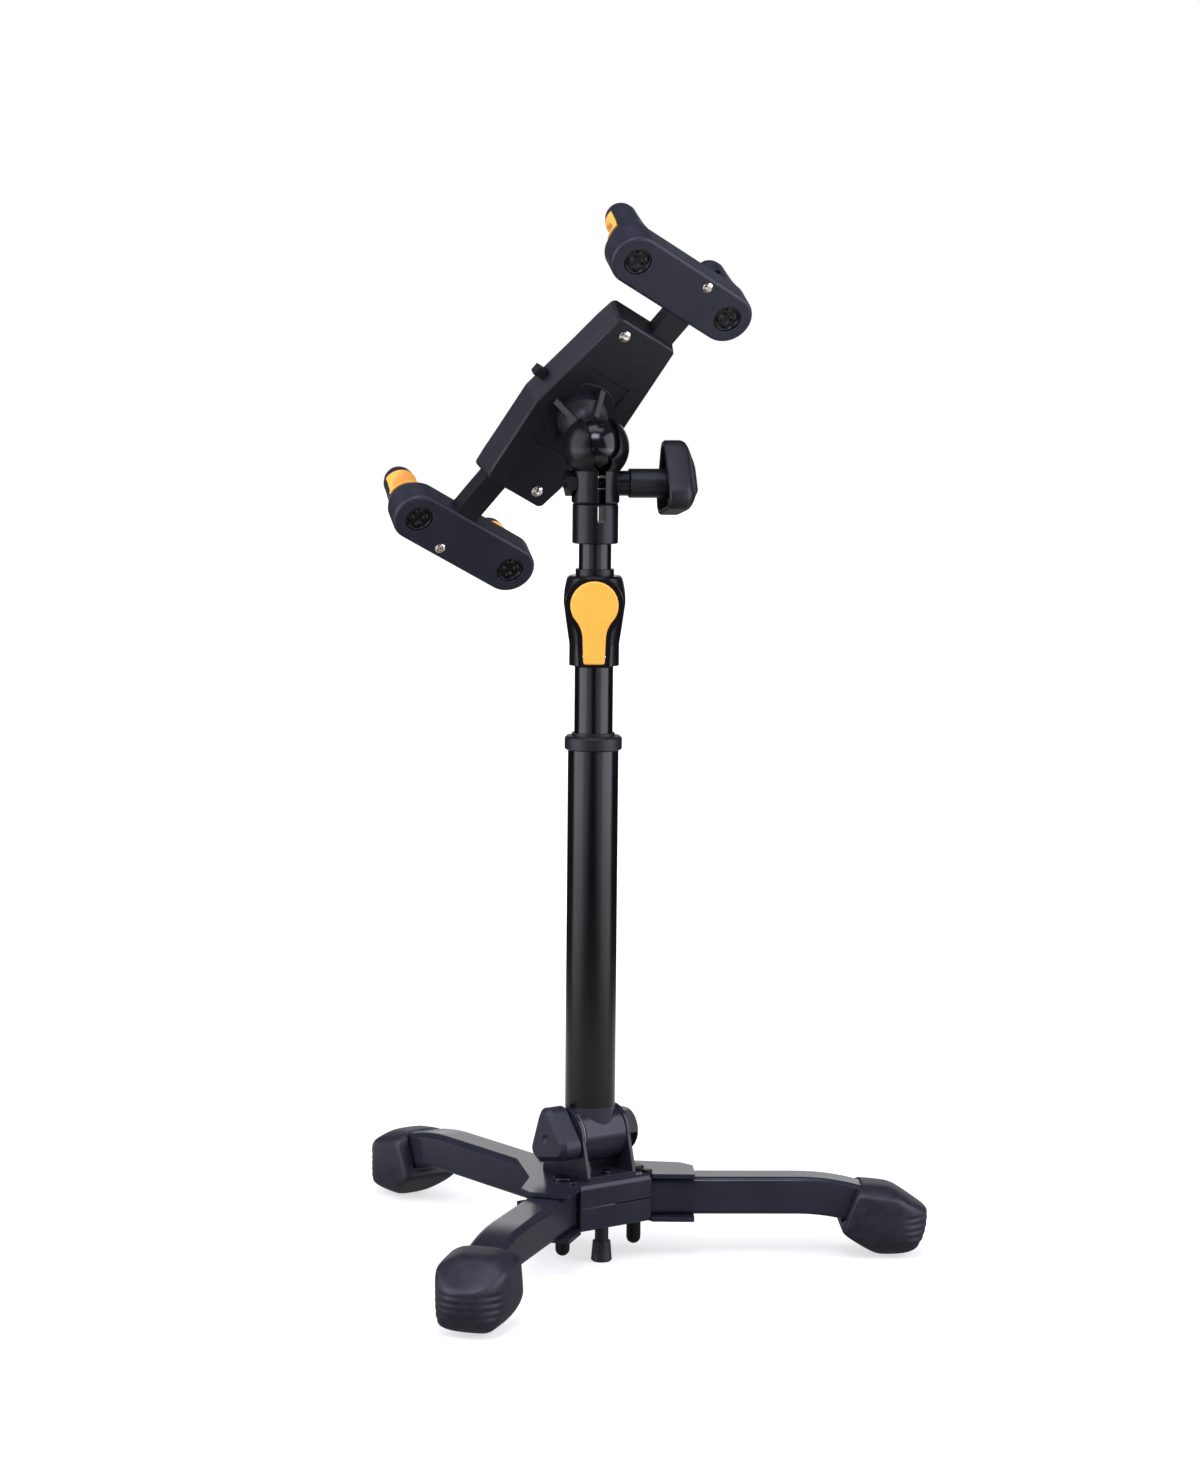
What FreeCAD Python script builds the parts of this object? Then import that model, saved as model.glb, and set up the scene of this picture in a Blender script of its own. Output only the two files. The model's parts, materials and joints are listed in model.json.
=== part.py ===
import FreeCAD, Part

import math
import os

# Desktop stand that grips a tablet by its two long sides.
# Millimetres, +Z up. The origin is the centre of the bottom face of the centre bumper.

# Folding tripod base
HUB_YAW = -53.0            # direction from the mast to the front flange, degrees from +X
BUMPER_AHEAD = 10.7        # bumper centre in front of the mast axis, along the flange direction
BUMPER_RADIUS = 5.25
BUMPER_HEIGHT = 10.4
BUMPER_NECK_RADIUS = 3.4
BUMPER_LIP = 0.8
PLATE_THICKNESS = 2.2
PLATE_CORNER = 1.25
PLATE_WAIST = 17.8         # half width at the rear pivot
LOBE_HALF_WIDTH = 13.5
LOBE_LENGTH = 30.0         # front lobes, from the pivot outwards
LOBE_SLANT = 6.0           # how much shorter their inner corner is
LOBE_FLARE = 4.0           # how much wider they are at the pivot
REAR_LOBE_LENGTH = 8.5
FLANGE_SHOULDER = 1.0      # plate beyond the flange at its two ends
FLANGE_FACE = 22.5         # outer face of the folded flanges, in front of the mast axis
FLANGE_HALF_LENGTH = 22.0
FLANGE_BEND = 3.0
FLANGE_SEAM = 0.6
LEG_SIZE = 19.0
LEG_WALL = 1.5
LEG_CORNER = 3.0
LEG_MID_HEIGHT = 31.4
LEG_SPLAY = 55.0           # front legs to each side of the flange direction, degrees
LEG_LEVEL = 82.0           # level length from the pivot
LEG_BEND_RADIUS = 110.0
LEG_BEND_ANGLE = 18.0
LEG_TOE_LENGTH = 12.0      # straight length after the bend, inside the foot
FRONT_PIVOT_AHEAD = 7.9
FRONT_PIVOT_SIDE = 22.2
REAR_PIVOT_BACK = 35.0
WASHER_THICKNESS = 0.4
WASHER_GAP = 0.1
PIVOT_BOLT_RADIUS = 3.0
PIVOT_HEAD_RADIUS = 5.0
PIVOT_HEAD_HEIGHT = 1.8
PIVOT_HEAD_ROUND = 1.1
CAP_NUT_RADIUS = 3.6
CAP_NUT_LENGTH = 14.0
CAP_NUT_FLANGE = 1.4
CAP_NUT_FLANGE_HEIGHT = 1.2
PLATE_SCREW_RADIUS = 2.6
PLATE_SCREW_HEAD = 1.4
PLATE_SCREW_ROUND = 0.8
PLATE_SCREW_AHEAD = 17.5
PLATE_SCREW_SIDE = 23.0
BRACKET_SCREW_BACK = 6.0         # from the bracket's rear edge
BRACKET_SCREW_FRONT = 5.0
LEG_WASHER_INSET = 1.0         # washer's rim inside the leg's sides

# Rubber feet, outlines by distance from the leg pivot, side and height above the surface
FOOT_HEIGHT = 39.0
FOOT_SIDE_VIEW = [
    (113.0, 39.0), (149.7, 39.0), (149.7, 20.0), (148.8, 14.0), (146.5, 9.0), (142.5, 4.5), (137.5, 1.2),
    (133.0, 0.0), (124.0, 0.0), (103.5, 14.0), (107.8, 18.0)]
FOOT_PLAN_VIEW = [(102.0, 16.0), (116.0, 18.5), (133.0, 18.5), (141.0, 15.8), (146.5, 11.0), (149.7, 5.0)]
FOOT_END_VIEW = [(18.5, 39.0), (18.5, 14.0), (17.2, 8.5), (14.5, 4.2), (10.5, 1.2), (6.5, 0.0)]
FOOT_ROUND = 2.0
FOOT_REAR_TOP = (109.0, 9.0, 39.0)
FOOT_FRONT_TOP = (130.0, 9.0, 36.5)
FOOT_REAR_SHOULDER = (109.0, 18.5, 33.5)
FOOT_FRONT_SHOULDER = (137.0, 18.5, 28.5)
FOOT_TOE = (146.5, 7.0, 25.5)
FOOT_MOUTH_END = 112.0
FOOT_MOUTH_GAP = 1.6
FOOT_MOUTH_ROUND = 3.5

# Tilting joint at the foot of the mast
KNUCKLE_RISE = 3.8         # barrel above the bracket's base
EAR_THICKNESS = 1.8
EAR_INNER = 13.1
EAR_RADIUS = 14.0
BRACKET_FRONT = 19.0
BRACKET_BACK = 19.0
BRACKET_STEP = 3.0         # upright part of the ears' lower edges
BRACKET_TAPER = 1.0
KNUCKLE_RADIUS = 14.0
KNUCKLE_HALF_LENGTH = 12.0
FRICTION_WASHER_RADIUS = 13.0
FRICTION_WASHER_THICKNESS = 0.8
TILT_BOLT_RADIUS = 3.0
TILT_WASHER_RADIUS = 11.0
TILT_WASHER_THICKNESS = 1.3
TILT_NUT_CORNER_RADIUS = 12.0
TILT_NUT_THICKNESS = 6.3
TILT_NUT_CROWN = 0.25      # slope of its corner chamfers
TILT_BOLT_ENTRY = 7.0      # bolt inside the knob
TILT_KNOB_RADIUS = 15.6    # to the tip of a lobe
TILT_KNOB_LOBE = 6.6       # rounding of its three lobes
TILT_KNOB_LENGTH = 11.0
TILT_KNOB_CHAMFER = 2.4
TILT_KNOB_TURN = 100.0     # angle of its first lobe above the flange direction, degrees
DIMPLE_RADIUS = 3.0
DIMPLE_DEPTH = 1.2

# Mast
TUBE_RADIUS = 12.5
TUBE_WALL = 1.5
TUBE_FOOT_RISE = 0.8       # tube's lower end above the barrel
TUBE_TOP = 260.0
COLLAR_RADIUS = 14.2
COLLAR_BOTTOM = 256.6
COLLAR_TOP = 263.5
COLLAR_LOWER_CHAMFER = 0.6
COLLAR_UPPER_CHAMFER = 1.0
COLLAR_LIP_RADIUS = 10.6
COLLAR_LIP = 1.5
INNER_TUBE_RADIUS = 9.5
INNER_TUBE_WALL = 1.2
INNER_TUBE_BOTTOM = 190.0
BUSH_LENGTH = 14.0
ROD_RADIUS = 8.0
ROD_WALL = 1.5
ROD_BOTTOM = 150.0

# Height clutch at the top of the mast
CLUTCH_BOTTOM = 298.5
CLUTCH_SOCKET_DEPTH = 8.0
CLUTCH_NECK_RADIUS = 12.3
CLUTCH_NECK_LENGTH = 10.5
CLUTCH_SWELL_LENGTH = 20.0     # from the neck to the belly
CLUTCH_SWELL_BULGE = 1.5       # how far the swelling lies outside the neck half way up
CLUTCH_BELLY_RADIUS = 15.2
CLUTCH_CROWN_LENGTH = 12.7     # from the belly to the shoulder
CLUTCH_CROWN_BULGE = 0.3
CLUTCH_SHOULDER_RADIUS = 13.6
CLUTCH_SHOULDER_CHAMFER = 1.0
CLUTCH_RING_RADIUS = 9.5
CLUTCH_RING_LENGTH = 3.3
CAVITY_RADIUS = 12.0
CAVITY_FLOOR = 2.5             # between the inner tube's end and the chamber
CAVITY_ROOF = 5.7              # between the chamber and the ring
CAVITY_WALL = 0.8              # between the chamber and the lever's pocket
LEVER_HEAD_RADIUS = 11.8
LEVER_SHOULDER_RADIUS = 14.0   # hollow curve from the head to the tail
LEVER_TAIL_TOP_HALF_WIDTH = 5.7
LEVER_TAIL_HALF_WIDTH = 5.2
LEVER_TAIL_LENGTH = 29.0       # from the head's centre to the tail's end
LEVER_TAIL_ROUND = 1.2
LEVER_PIN_RISE = 3.5           # pin above the tail's end
LEVER_THICKNESS = 4.0
LEVER_EDGE_ROUND = 0.9
LEVER_FACE = 17.0              # front face, in front of the mast axis
LEVER_PIN_RADIUS = 1.0
LEVER_PIN_DEPTH = 1.6          # pin in front of the lever's back face
LEVER_SLACK = 0.35
LEVER_TRAVEL = 2.3
RIM_WIDTH = 2.2
RIM_FACE = 16.2
PLATE_TILT = 5.0
LOCK_PLATE_THICKNESS = 2.0
SPRING_WIRE_RADIUS = 0.65
SPRING_PITCH = 3.0
SPRING_TURNS = 4

# Ball clamp on the rod
CLAMP_YAW = 9.0                # direction of the clamp bolt towards its knob, degrees from +X
CLAMP_GAP = 12.5               # between the clutch and the clamp's base
ROD_ENTRY = 8.5                # rod inside the clamp's base
CLAMP_BASE_LENGTH = 19.5
CLAMP_BASE_RADIUS = 11.3
CLAMP_BASE_CHAMFER = 0.5
BASE_SLIT_TOP = 1.0            # slit in the base below its top face
CLAMP_STUB_RADIUS = 6.0
CLAMP_STUB_HEIGHT = 7.0
CLAMP_NECK_RADIUS = 11.8
CLAMP_NECK_CHAMFER = 1.0
BALL_RISE = 27.5               # ball centre above the clamp's base
BALL_RADIUS = 14.0
SOCKET_OUTER_RADIUS = 16.4
SLIT_OFFSET = 1.35
SLIT_WIDTH = 3.8
WINDOW_HALF_WIDTH = 8.0
WINDOW_RISE = 2.0              # centre of the window's round lower end above the ball centre
RELIEF_RADIUS = 4.5
RELIEF_DROP = 7.2              # round relief below the ball centre
CLAMP_BOLT_RADIUS = 2.5
CLAMP_BOLT_RISE = 10.0         # bolt above the clamp's base
CLAMP_BOLT_PROUD = 1.0
CLAMP_NUT_SEAT = 9.6
CLAMP_NUT_FLATS = 11.0
CLAMP_NUT_THICKNESS = 5.5
CLAMP_NUT_ROOM = 1.6
CLAMP_BOSS_RADIUS = 6.2
CLAMP_BOSS_END = 15.9
CLAMP_KNOB_GAP = 0.4
SLEEVE_RADIUS = 7.2
KNOB_RADIUS = 21.3             # to the tip of a lobe
KNOB_LOBE = 8.0                # rounding of its three lobes
KNOB_TURN = 172.0
KNOB_START = 33.4
KNOB_SHOULDER = 43.5
KNOB_END = 50.2
KNOB_DOME_RADIUS = 9.0         # flat middle of the domed face
KNOB_WALL = 2.6
KNOB_HOLLOW_DEPTH = 6.0
KNOB_BORE_ROOF = 5.0

# Holder: direction of the ball stem and turn of the holder about it
STEM_AZIMUTH = 107.5
STEM_ELEVATION = 30.0
HOLDER_ROLL = 31.2
STEM_RADIUS = 6.6
STEM_FLARE_START = 16.0
STEM_FLARE_RADIUS = 12.6
STEM_FLARE_DEPTH = 24.5
STEM_FLARE_HOLLOW = 0.35       # share of the flare's widening at its middle point
STEM_FLARE_MIDDLE = 0.7        # share of its length where that point lies
STUD_RADIUS = 4.0
STUD_END = 4.9                 # from the ball's centre
GUSSET_THICKNESS = 3.0
GUSSET_START = 17.5
GUSSET_REACH = 17.5
GUSSET_ROOT = 7.6
GUSSET_HEEL = 1.5

# Holder body, depths measured from the ball centre towards the tablet
BODY_BACK = 30.0
BODY_SPLIT = 38.0
BODY_FRONT = 45.5
BODY_END = 53.5
BODY_END_HALF_WIDTH = 18.0
BODY_CORNER_SIDE = 24.8
BODY_CORNER_RISE = 5.7
BODY_CORNER_ROUND = 3.0
BODY_INNER_ROUND = 1.5
BODY_CHAMFER = 0.8
BODY_BACK_WALL = 3.7
BODY_FRONT_WALL = 2.2
BODY_SIDE_WALL = 2.4
FRONT_OVERHANG = 2.2
PAD_THICKNESS = 1.0
PAD_INSET = 6.0
PAD_ROUND = 3.0
COVER_SCREW_RADIUS = 3.0
COVER_SCREW_SIDE = 10.0
COVER_SCREW_END = 46.5
COVER_SCREW_HEAD = 1.6
STEP_DEPTH = 0.6
STEP_HALF_WIDTH = 12.5
STEP_HALF_HEIGHT = 24.0

# Arms that slide apart on two toothed bars
BAR_BACK = 34.0
BAR_THICKNESS = 9.0
BAR_OUTER_EDGE = 16.1
BAR_INNER_END = 31.0       # past the body centre, on the far side
BAR_SLACK = 0.3
RACK_MODULE = 0.8
PINION_TEETH = 10
RACK_FIRST_TOOTH = -12     # teeth from the body centre to the bar's inner end
RACK_TEETH = 19
TOOTH_HALF_AT_PITCH = 0.5
TOOTH_TIP = 0.62
TOOTH_ROOT = 1.0
PINION_ROOT_HALF = 0.85
PINION_TIP_HALF = 0.22
PRESSURE_ANGLE = 20.0
PINION_PIN_RADIUS = 1.5
ARM_BACK = 33.0
ARM_FRONT = 46.5
ARM_END_RADIUS = 13.2
ARM_HALF_SPACING = 30.3
ARM_EDGE_ROUND = 1.8
UPPER_ARM = 81.0
LOWER_ARM = 92.0
BAR_SEAT = 9.0             # length of bar past the arm centre
POST_RADIUS = 8.0
POST_OUT = 3.0             # post axis beyond the arm centre line
POST_SHOULDER = 71.0
POST_FOOT_INSET = 0.4      # foot inside the arm's end
POST_FOOT_END = 53.4
POST_FOOT_TOP_RADIUS = 11.2
GRIP_START = 53.4
GRIP_END = 70.6
GRIP_BACK = 1.0            # grip's back face beyond the post axis
GRIP_FLOOR = 1.5           # groove floor inside the post axis
GRIP_GROOVE_RADIUS = 8.5
GRIP_GROOVE_DEPTH = 59.3
POST_SCREW_HEAD_RADIUS = 7.0
POST_SCREW_HEAD = 1.6
POST_SCREW_SHANK_RADIUS = 2.5
POST_SCREW_ROOM = 0.6          # between the screw's end and the grip
CROSS_WIDTH = 1.8
CROSS_DEPTH = 0.8
CROSS_SHARE = 1.3              # length of the cross in radii of the head
CROSS_TURN = 20.0              # degrees
CROSS_STEP = 0.7               # further turn for each millimetre along the bars
ARM_SCREW_RADIUS = 2.7
ARM_SCREW_PROUD = 0.5
ARM_SCREW_HEAD = 1.0
ARM_SCREW_SIDE = 9.8
ARM_SCREW_RISE = 8.2
BUTTON_RISE = 4.9
BUTTON_SIZE = 4.6
BUTTON_DEPTH = 40.8
BUTTON_INNER = 20.6
BUTTON_OUT = 31.0
BUTTON_FLANGE = 1.4
BUTTON_TRAVEL = 2.0

# Clearances
RUNNING = 0.06             # radial, turning and sliding fits
FREE = 0.3                 # between pieces that move past each other

# Sizes worked out from the ones above
LEG_TOP = LEG_MID_HEIGHT + LEG_SIZE / 2
LEG_BOTTOM = LEG_MID_HEIGHT - LEG_SIZE / 2
TOP_PLATE_UNDER = LEG_TOP + WASHER_THICKNESS + WASHER_GAP
TOP_PLATE_TOP = TOP_PLATE_UNDER + PLATE_THICKNESS
BOTTOM_PLATE_TOP = LEG_BOTTOM - WASHER_THICKNESS - WASHER_GAP
BOTTOM_PLATE_UNDER = BOTTOM_PLATE_TOP - PLATE_THICKNESS
SEAM_HEIGHT = (TOP_PLATE_TOP + BOTTOM_PLATE_UNDER) / 2
BRACKET_TOP = TOP_PLATE_TOP + EAR_THICKNESS
TILT_HEIGHT = BRACKET_TOP + KNUCKLE_RISE + KNUCKLE_RADIUS
TUBE_BOTTOM = TILT_HEIGHT + KNUCKLE_RADIUS + TUBE_FOOT_RISE
EAR_OUTER = EAR_INNER + EAR_THICKNESS
LEVER_BACK = LEVER_FACE - LEVER_THICKNESS
POCKET_FLOOR = LEVER_BACK - LEVER_TRAVEL
BALL_SOCKET_RADIUS = BALL_RADIUS + RUNNING
CLUTCH_BELLY_HEIGHT = CLUTCH_BOTTOM + CLUTCH_NECK_LENGTH + CLUTCH_SWELL_LENGTH
CLUTCH_SHOULDER = CLUTCH_BELLY_HEIGHT + CLUTCH_CROWN_LENGTH
CLUTCH_RING_BOTTOM = CLUTCH_SHOULDER + CLUTCH_SHOULDER_CHAMFER
CLUTCH_TOP = CLUTCH_RING_BOTTOM + CLUTCH_RING_LENGTH
CAVITY_BOTTOM = CLUTCH_BOTTOM + CLUTCH_SOCKET_DEPTH + CAVITY_FLOOR
CAVITY_TOP = CLUTCH_RING_BOTTOM - CAVITY_ROOF
SPRING_RADIUS = POCKET_FLOOR - CAVITY_WALL - RUNNING - SPRING_WIRE_RADIUS
LEVER_TAIL_END = CLUTCH_BELLY_HEIGHT - LEVER_TAIL_LENGTH
LEVER_PIN_HEIGHT = LEVER_TAIL_END + LEVER_PIN_RISE
CLAMP_BASE_BOTTOM = CLUTCH_TOP + CLAMP_GAP
CLAMP_BASE_TOP = CLAMP_BASE_BOTTOM + CLAMP_BASE_LENGTH
ROD_TOP = CLAMP_BASE_BOTTOM + ROD_ENTRY
BALL_HEIGHT = CLAMP_BASE_TOP + BALL_RISE
WINDOW_HEIGHT = BALL_HEIGHT + WINDOW_RISE
RELIEF_HEIGHT = BALL_HEIGHT - RELIEF_DROP
CLAMP_BOLT_HEIGHT = CLAMP_BASE_TOP + CLAMP_BOLT_RISE
SPLIT_OVERHANG = FRONT_OVERHANG * (BODY_SPLIT - BODY_BACK) / (BODY_FRONT - BODY_BACK)
SLIT_LEFT = SLIT_OFFSET - SLIT_WIDTH / 2
SLIT_RIGHT = SLIT_OFFSET + SLIT_WIDTH / 2
PINION_RADIUS = RACK_MODULE * PINION_TEETH / 2
BAR_INNER_EDGE = PINION_RADIUS - TOOTH_TIP
BAR_FRONT = BAR_BACK + BAR_THICKNESS

UP = FreeCAD.Vector(0, 0, 1)


def vec(x, y, z):
    return FreeCAD.Vector(x, y, z)


def direction(azimuth, elevation):
    level = math.cos(math.radians(elevation))
    x = level * math.cos(math.radians(azimuth))
    y = level * math.sin(math.radians(azimuth))
    return vec(x, y, math.sin(math.radians(elevation)))


def frame_at(origin, x_axis, y_axis, z_axis):
    matrix = FreeCAD.Matrix(
        x_axis.x, y_axis.x, z_axis.x, origin.x,
        x_axis.y, y_axis.y, z_axis.y, origin.y,
        x_axis.z, y_axis.z, z_axis.z, origin.z,
        0, 0, 0, 1)
    return FreeCAD.Placement(matrix)


MAST_AXIS = direction(HUB_YAW, 0) * -BUMPER_AHEAD
AHEAD = direction(HUB_YAW, 0)
SIDE = direction(HUB_YAW + 90, 0)
CLAMP_X = direction(CLAMP_YAW, 0)
CLAMP_Y = direction(CLAMP_YAW + 90, 0)
HOLDER_BACKWARD = direction(STEM_AZIMUTH, STEM_ELEVATION) * -1
HOLDER_LEVEL = UP.cross(HOLDER_BACKWARD).normalize()
HOLDER_RISE = HOLDER_BACKWARD.cross(HOLDER_LEVEL)
ROLL = math.radians(HOLDER_ROLL)
BAR_AXIS = HOLDER_RISE * math.cos(ROLL) + HOLDER_LEVEL * math.sin(ROLL)
ARM_AXIS = BAR_AXIS.cross(HOLDER_BACKWARD)
BALL_CENTRE = MAST_AXIS + UP * BALL_HEIGHT

HUB_FRAME = frame_at(MAST_AXIS, AHEAD, SIDE, UP)
MAST_FRAME = frame_at(MAST_AXIS, vec(1, 0, 0), vec(0, 1, 0), UP)
CLAMP_FRAME = frame_at(MAST_AXIS, CLAMP_X, CLAMP_Y, UP)
HOLDER_FRAME = frame_at(BALL_CENTRE, ARM_AXIS, BAR_AXIS, HOLDER_BACKWARD)


def block(x0, x1, y0, y1, z0, z1):
    return Part.makeBox(x1 - x0, y1 - y0, z1 - z0, vec(x0, y0, z0))


def post(radius, z0, z1, x=0.0, y=0.0):
    return Part.makeCylinder(radius, z1 - z0, vec(x, y, z0), UP)


def ring(outer, inner, z0, z1, x=0.0, y=0.0):
    return post(outer, z0, z1, x, y).cut(post(inner, z0, z1, x, y))


def along_x(radius, x0, x1, y, z):
    return Part.makeCylinder(radius, x1 - x0, vec(x0, y, z), vec(1, 0, 0))


def along_y(radius, y0, y1, x, z):
    return Part.makeCylinder(radius, y1 - y0, vec(x, y0, z), vec(0, 1, 0))


def rounded_wire(points, radius):
    # closed outline whose corners are rounded alike
    edges = []
    starts = []
    ends = []
    count = len(points)
    for i in range(count):
        corner = points[i]
        before = (points[i - 1] - corner).normalize()
        after = (points[(i + 1) % count] - corner).normalize()
        half = before.getAngle(after) / 2
        reach = radius / math.tan(half)
        middle = (before + after).normalize()
        centre = corner + middle * (radius / math.sin(half))
        start = corner + before * reach
        end = corner + after * reach
        starts.append(start)
        ends.append(end)
        edges.append(Part.Arc(start, centre - middle * radius, end).toShape())
    for i in range(count):
        edges.append(Part.LineSegment(ends[i], starts[(i + 1) % count]).toShape())
    return Part.Wire(Part.__sortEdges__(edges))


def slab(points, radius, z0, z1):
    # flat piece with rounded corners between two heights
    corners = [vec(x, y, z0) for x, y in points]
    return Part.Face(rounded_wire(corners, radius)).extrude(UP * (z1 - z0))


def plate_of(points, z0, z1):
    corners = [vec(x, y, z0) for x, y in points]
    return Part.Face(Part.makePolygon(corners + corners[:1])).extrude(UP * (z1 - z0))


def turned(points):
    # solid of revolution about Z from (radius, height) points
    corners = [vec(r, 0, z) for r, z in points]
    face = Part.Face(Part.makePolygon(corners + corners[:1]))
    return face.revolve(vec(0, 0, 0), UP, 360)


def hexagon(corner_radius, z0, z1):
    points = []
    for i in range(6):
        angle = math.radians(60 * i)
        points.append((corner_radius * math.cos(angle), corner_radius * math.sin(angle)))
    return plate_of(points, z0, z1)


def lobed_outline(radius, rounding, turn):
    # corners of the triangle whose rounding leaves three lobes that reach the radius
    corners = []
    for i in range(3):
        spot = direction(turn + 120 * i, 0) * (radius + rounding)
        corners.append((spot.x, spot.y))
    return corners


def mirrored_outline(half):
    return half + [(x, -y) for x, y in reversed(half)]


def moved(shape, x=0.0, y=0.0, z=0.0):
    copy = shape.copy()
    copy.translate(vec(x, y, z))
    return copy


def turned_by(shape, angle, axis=UP, centre=None):
    copy = shape.copy()
    copy.rotate(centre or vec(0, 0, 0), axis, angle)
    return copy


PARTS = {}


def keep(name, shape, frame):
    piece = shape.copy()
    piece.Placement = frame.multiply(piece.Placement)
    PARTS[name] = piece


# Hub of the tripod, drawn with X ahead, Y to the side and the mast axis at the centre

FRONT_PIVOTS = [(FRONT_PIVOT_AHEAD, -FRONT_PIVOT_SIDE), (FRONT_PIVOT_AHEAD, FRONT_PIVOT_SIDE)]
ALL_PIVOTS = FRONT_PIVOTS + [(-REAR_PIVOT_BACK, 0.0)]


def lobe_point(along, across):
    # point of the front lobe on the +Y side, along the leg from its pivot and across it
    c = math.cos(math.radians(LEG_SPLAY))
    s = math.sin(math.radians(LEG_SPLAY))
    return (FRONT_PIVOT_AHEAD + along * c + across * s, FRONT_PIVOT_SIDE + along * s - across * c)


def plate_outline():
    bend_line = FLANGE_FACE - FLANGE_BEND
    half = [
        (bend_line, FLANGE_HALF_LENGTH + FREE),
        (FLANGE_FACE + FLANGE_SHOULDER, FLANGE_HALF_LENGTH + FREE),
        lobe_point(LOBE_LENGTH, LOBE_HALF_WIDTH),
        lobe_point(LOBE_LENGTH, -LOBE_HALF_WIDTH / 2),
        lobe_point(LOBE_LENGTH - LOBE_SLANT, -LOBE_HALF_WIDTH),
        lobe_point(0.0, -LOBE_HALF_WIDTH - LOBE_FLARE),
        (-REAR_PIVOT_BACK, PLATE_WAIST),
        (-REAR_PIVOT_BACK - REAR_LOBE_LENGTH, LOBE_HALF_WIDTH)]
    return mirrored_outline(half)


def flange_profile(outer, inner, seam):
    # plate edge that bends round to an upright flange, in the X and Z plane
    bend = math.copysign(FLANGE_BEND, outer - seam)
    bend_inner = math.copysign(FLANGE_BEND - PLATE_THICKNESS, outer - seam)
    root = FLANGE_FACE - FLANGE_BEND
    half_turn = math.sqrt(0.5)
    back = FLANGE_FACE - PLATE_THICKNESS
    centre = outer - bend
    outer_arc = Part.Arc(
        vec(root, 0, outer),
        vec(root + FLANGE_BEND * half_turn, 0, centre + bend * half_turn),
        vec(FLANGE_FACE, 0, centre))
    inner_arc = Part.Arc(
        vec(back, 0, centre),
        vec(root + (back - root) * half_turn, 0, centre + bend_inner * half_turn),
        vec(root, 0, inner))
    edges = [
        outer_arc.toShape(),
        Part.LineSegment(vec(FLANGE_FACE, 0, centre), vec(FLANGE_FACE, 0, seam)).toShape(),
        Part.LineSegment(vec(FLANGE_FACE, 0, seam), vec(back, 0, seam)).toShape(),
        Part.LineSegment(vec(back, 0, seam), vec(back, 0, centre)).toShape(),
        inner_arc.toShape(),
        Part.LineSegment(vec(root, 0, inner), vec(root, 0, outer)).toShape()]
    return Part.Face(Part.Wire(edges))


def hub_plate(outer, inner, seam, screws):
    plate = slab(plate_outline(), PLATE_CORNER, min(outer, inner), max(outer, inner))
    face = flange_profile(outer, inner, seam)
    face.translate(vec(0, -FLANGE_HALF_LENGTH, 0))
    plate = plate.fuse(face.extrude(vec(0, 2 * FLANGE_HALF_LENGTH, 0))).removeSplitter()
    low = min(outer, inner)
    high = max(outer, inner)
    for x, y in ALL_PIVOTS:
        plate = plate.cut(post(PIVOT_BOLT_RADIUS, low, high, x, y))
    for x, y in screws:
        plate = plate.cut(post(PLATE_SCREW_RADIUS / 2, low, high, x, y))
    return plate


PLATE_SCREWS = [(PLATE_SCREW_AHEAD, -PLATE_SCREW_SIDE), (PLATE_SCREW_AHEAD, PLATE_SCREW_SIDE)]
BRACKET_SCREWS = [(BRACKET_SCREW_BACK - BRACKET_BACK, 0.0), (BRACKET_FRONT - BRACKET_SCREW_FRONT, 0.0)]


def make_plates():
    upper_seam = SEAM_HEIGHT + FLANGE_SEAM / 2
    lower_seam = SEAM_HEIGHT - FLANGE_SEAM / 2
    top_screws = PLATE_SCREWS + BRACKET_SCREWS
    keep("hub_top_plate", hub_plate(TOP_PLATE_TOP, TOP_PLATE_UNDER, upper_seam, top_screws), HUB_FRAME)
    bottom_screws = [(BUMPER_AHEAD, 0.0)]
    bottom = hub_plate(BOTTOM_PLATE_UNDER, BOTTOM_PLATE_TOP, lower_seam, bottom_screws)
    keep("hub_bottom_plate", bottom, HUB_FRAME)


def pan_screw(x, y, seat, shank_end, radius):
    head = post(radius, seat, seat + PLATE_SCREW_HEAD, x, y)
    head = head.makeFillet(PLATE_SCREW_ROUND, [head.Edges[0]])
    return head.fuse(post(radius / 2, shank_end, seat, x, y))


def make_plate_screws():
    screws = []
    for x, y in PLATE_SCREWS:
        screws.append(pan_screw(x, y, TOP_PLATE_TOP, TOP_PLATE_UNDER, PLATE_SCREW_RADIUS))
    for x, y in BRACKET_SCREWS:
        screws.append(pan_screw(x, y, BRACKET_TOP, TOP_PLATE_UNDER, PLATE_SCREW_RADIUS))
    keep("plate_screws", Part.makeCompound(screws), HUB_FRAME)


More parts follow.
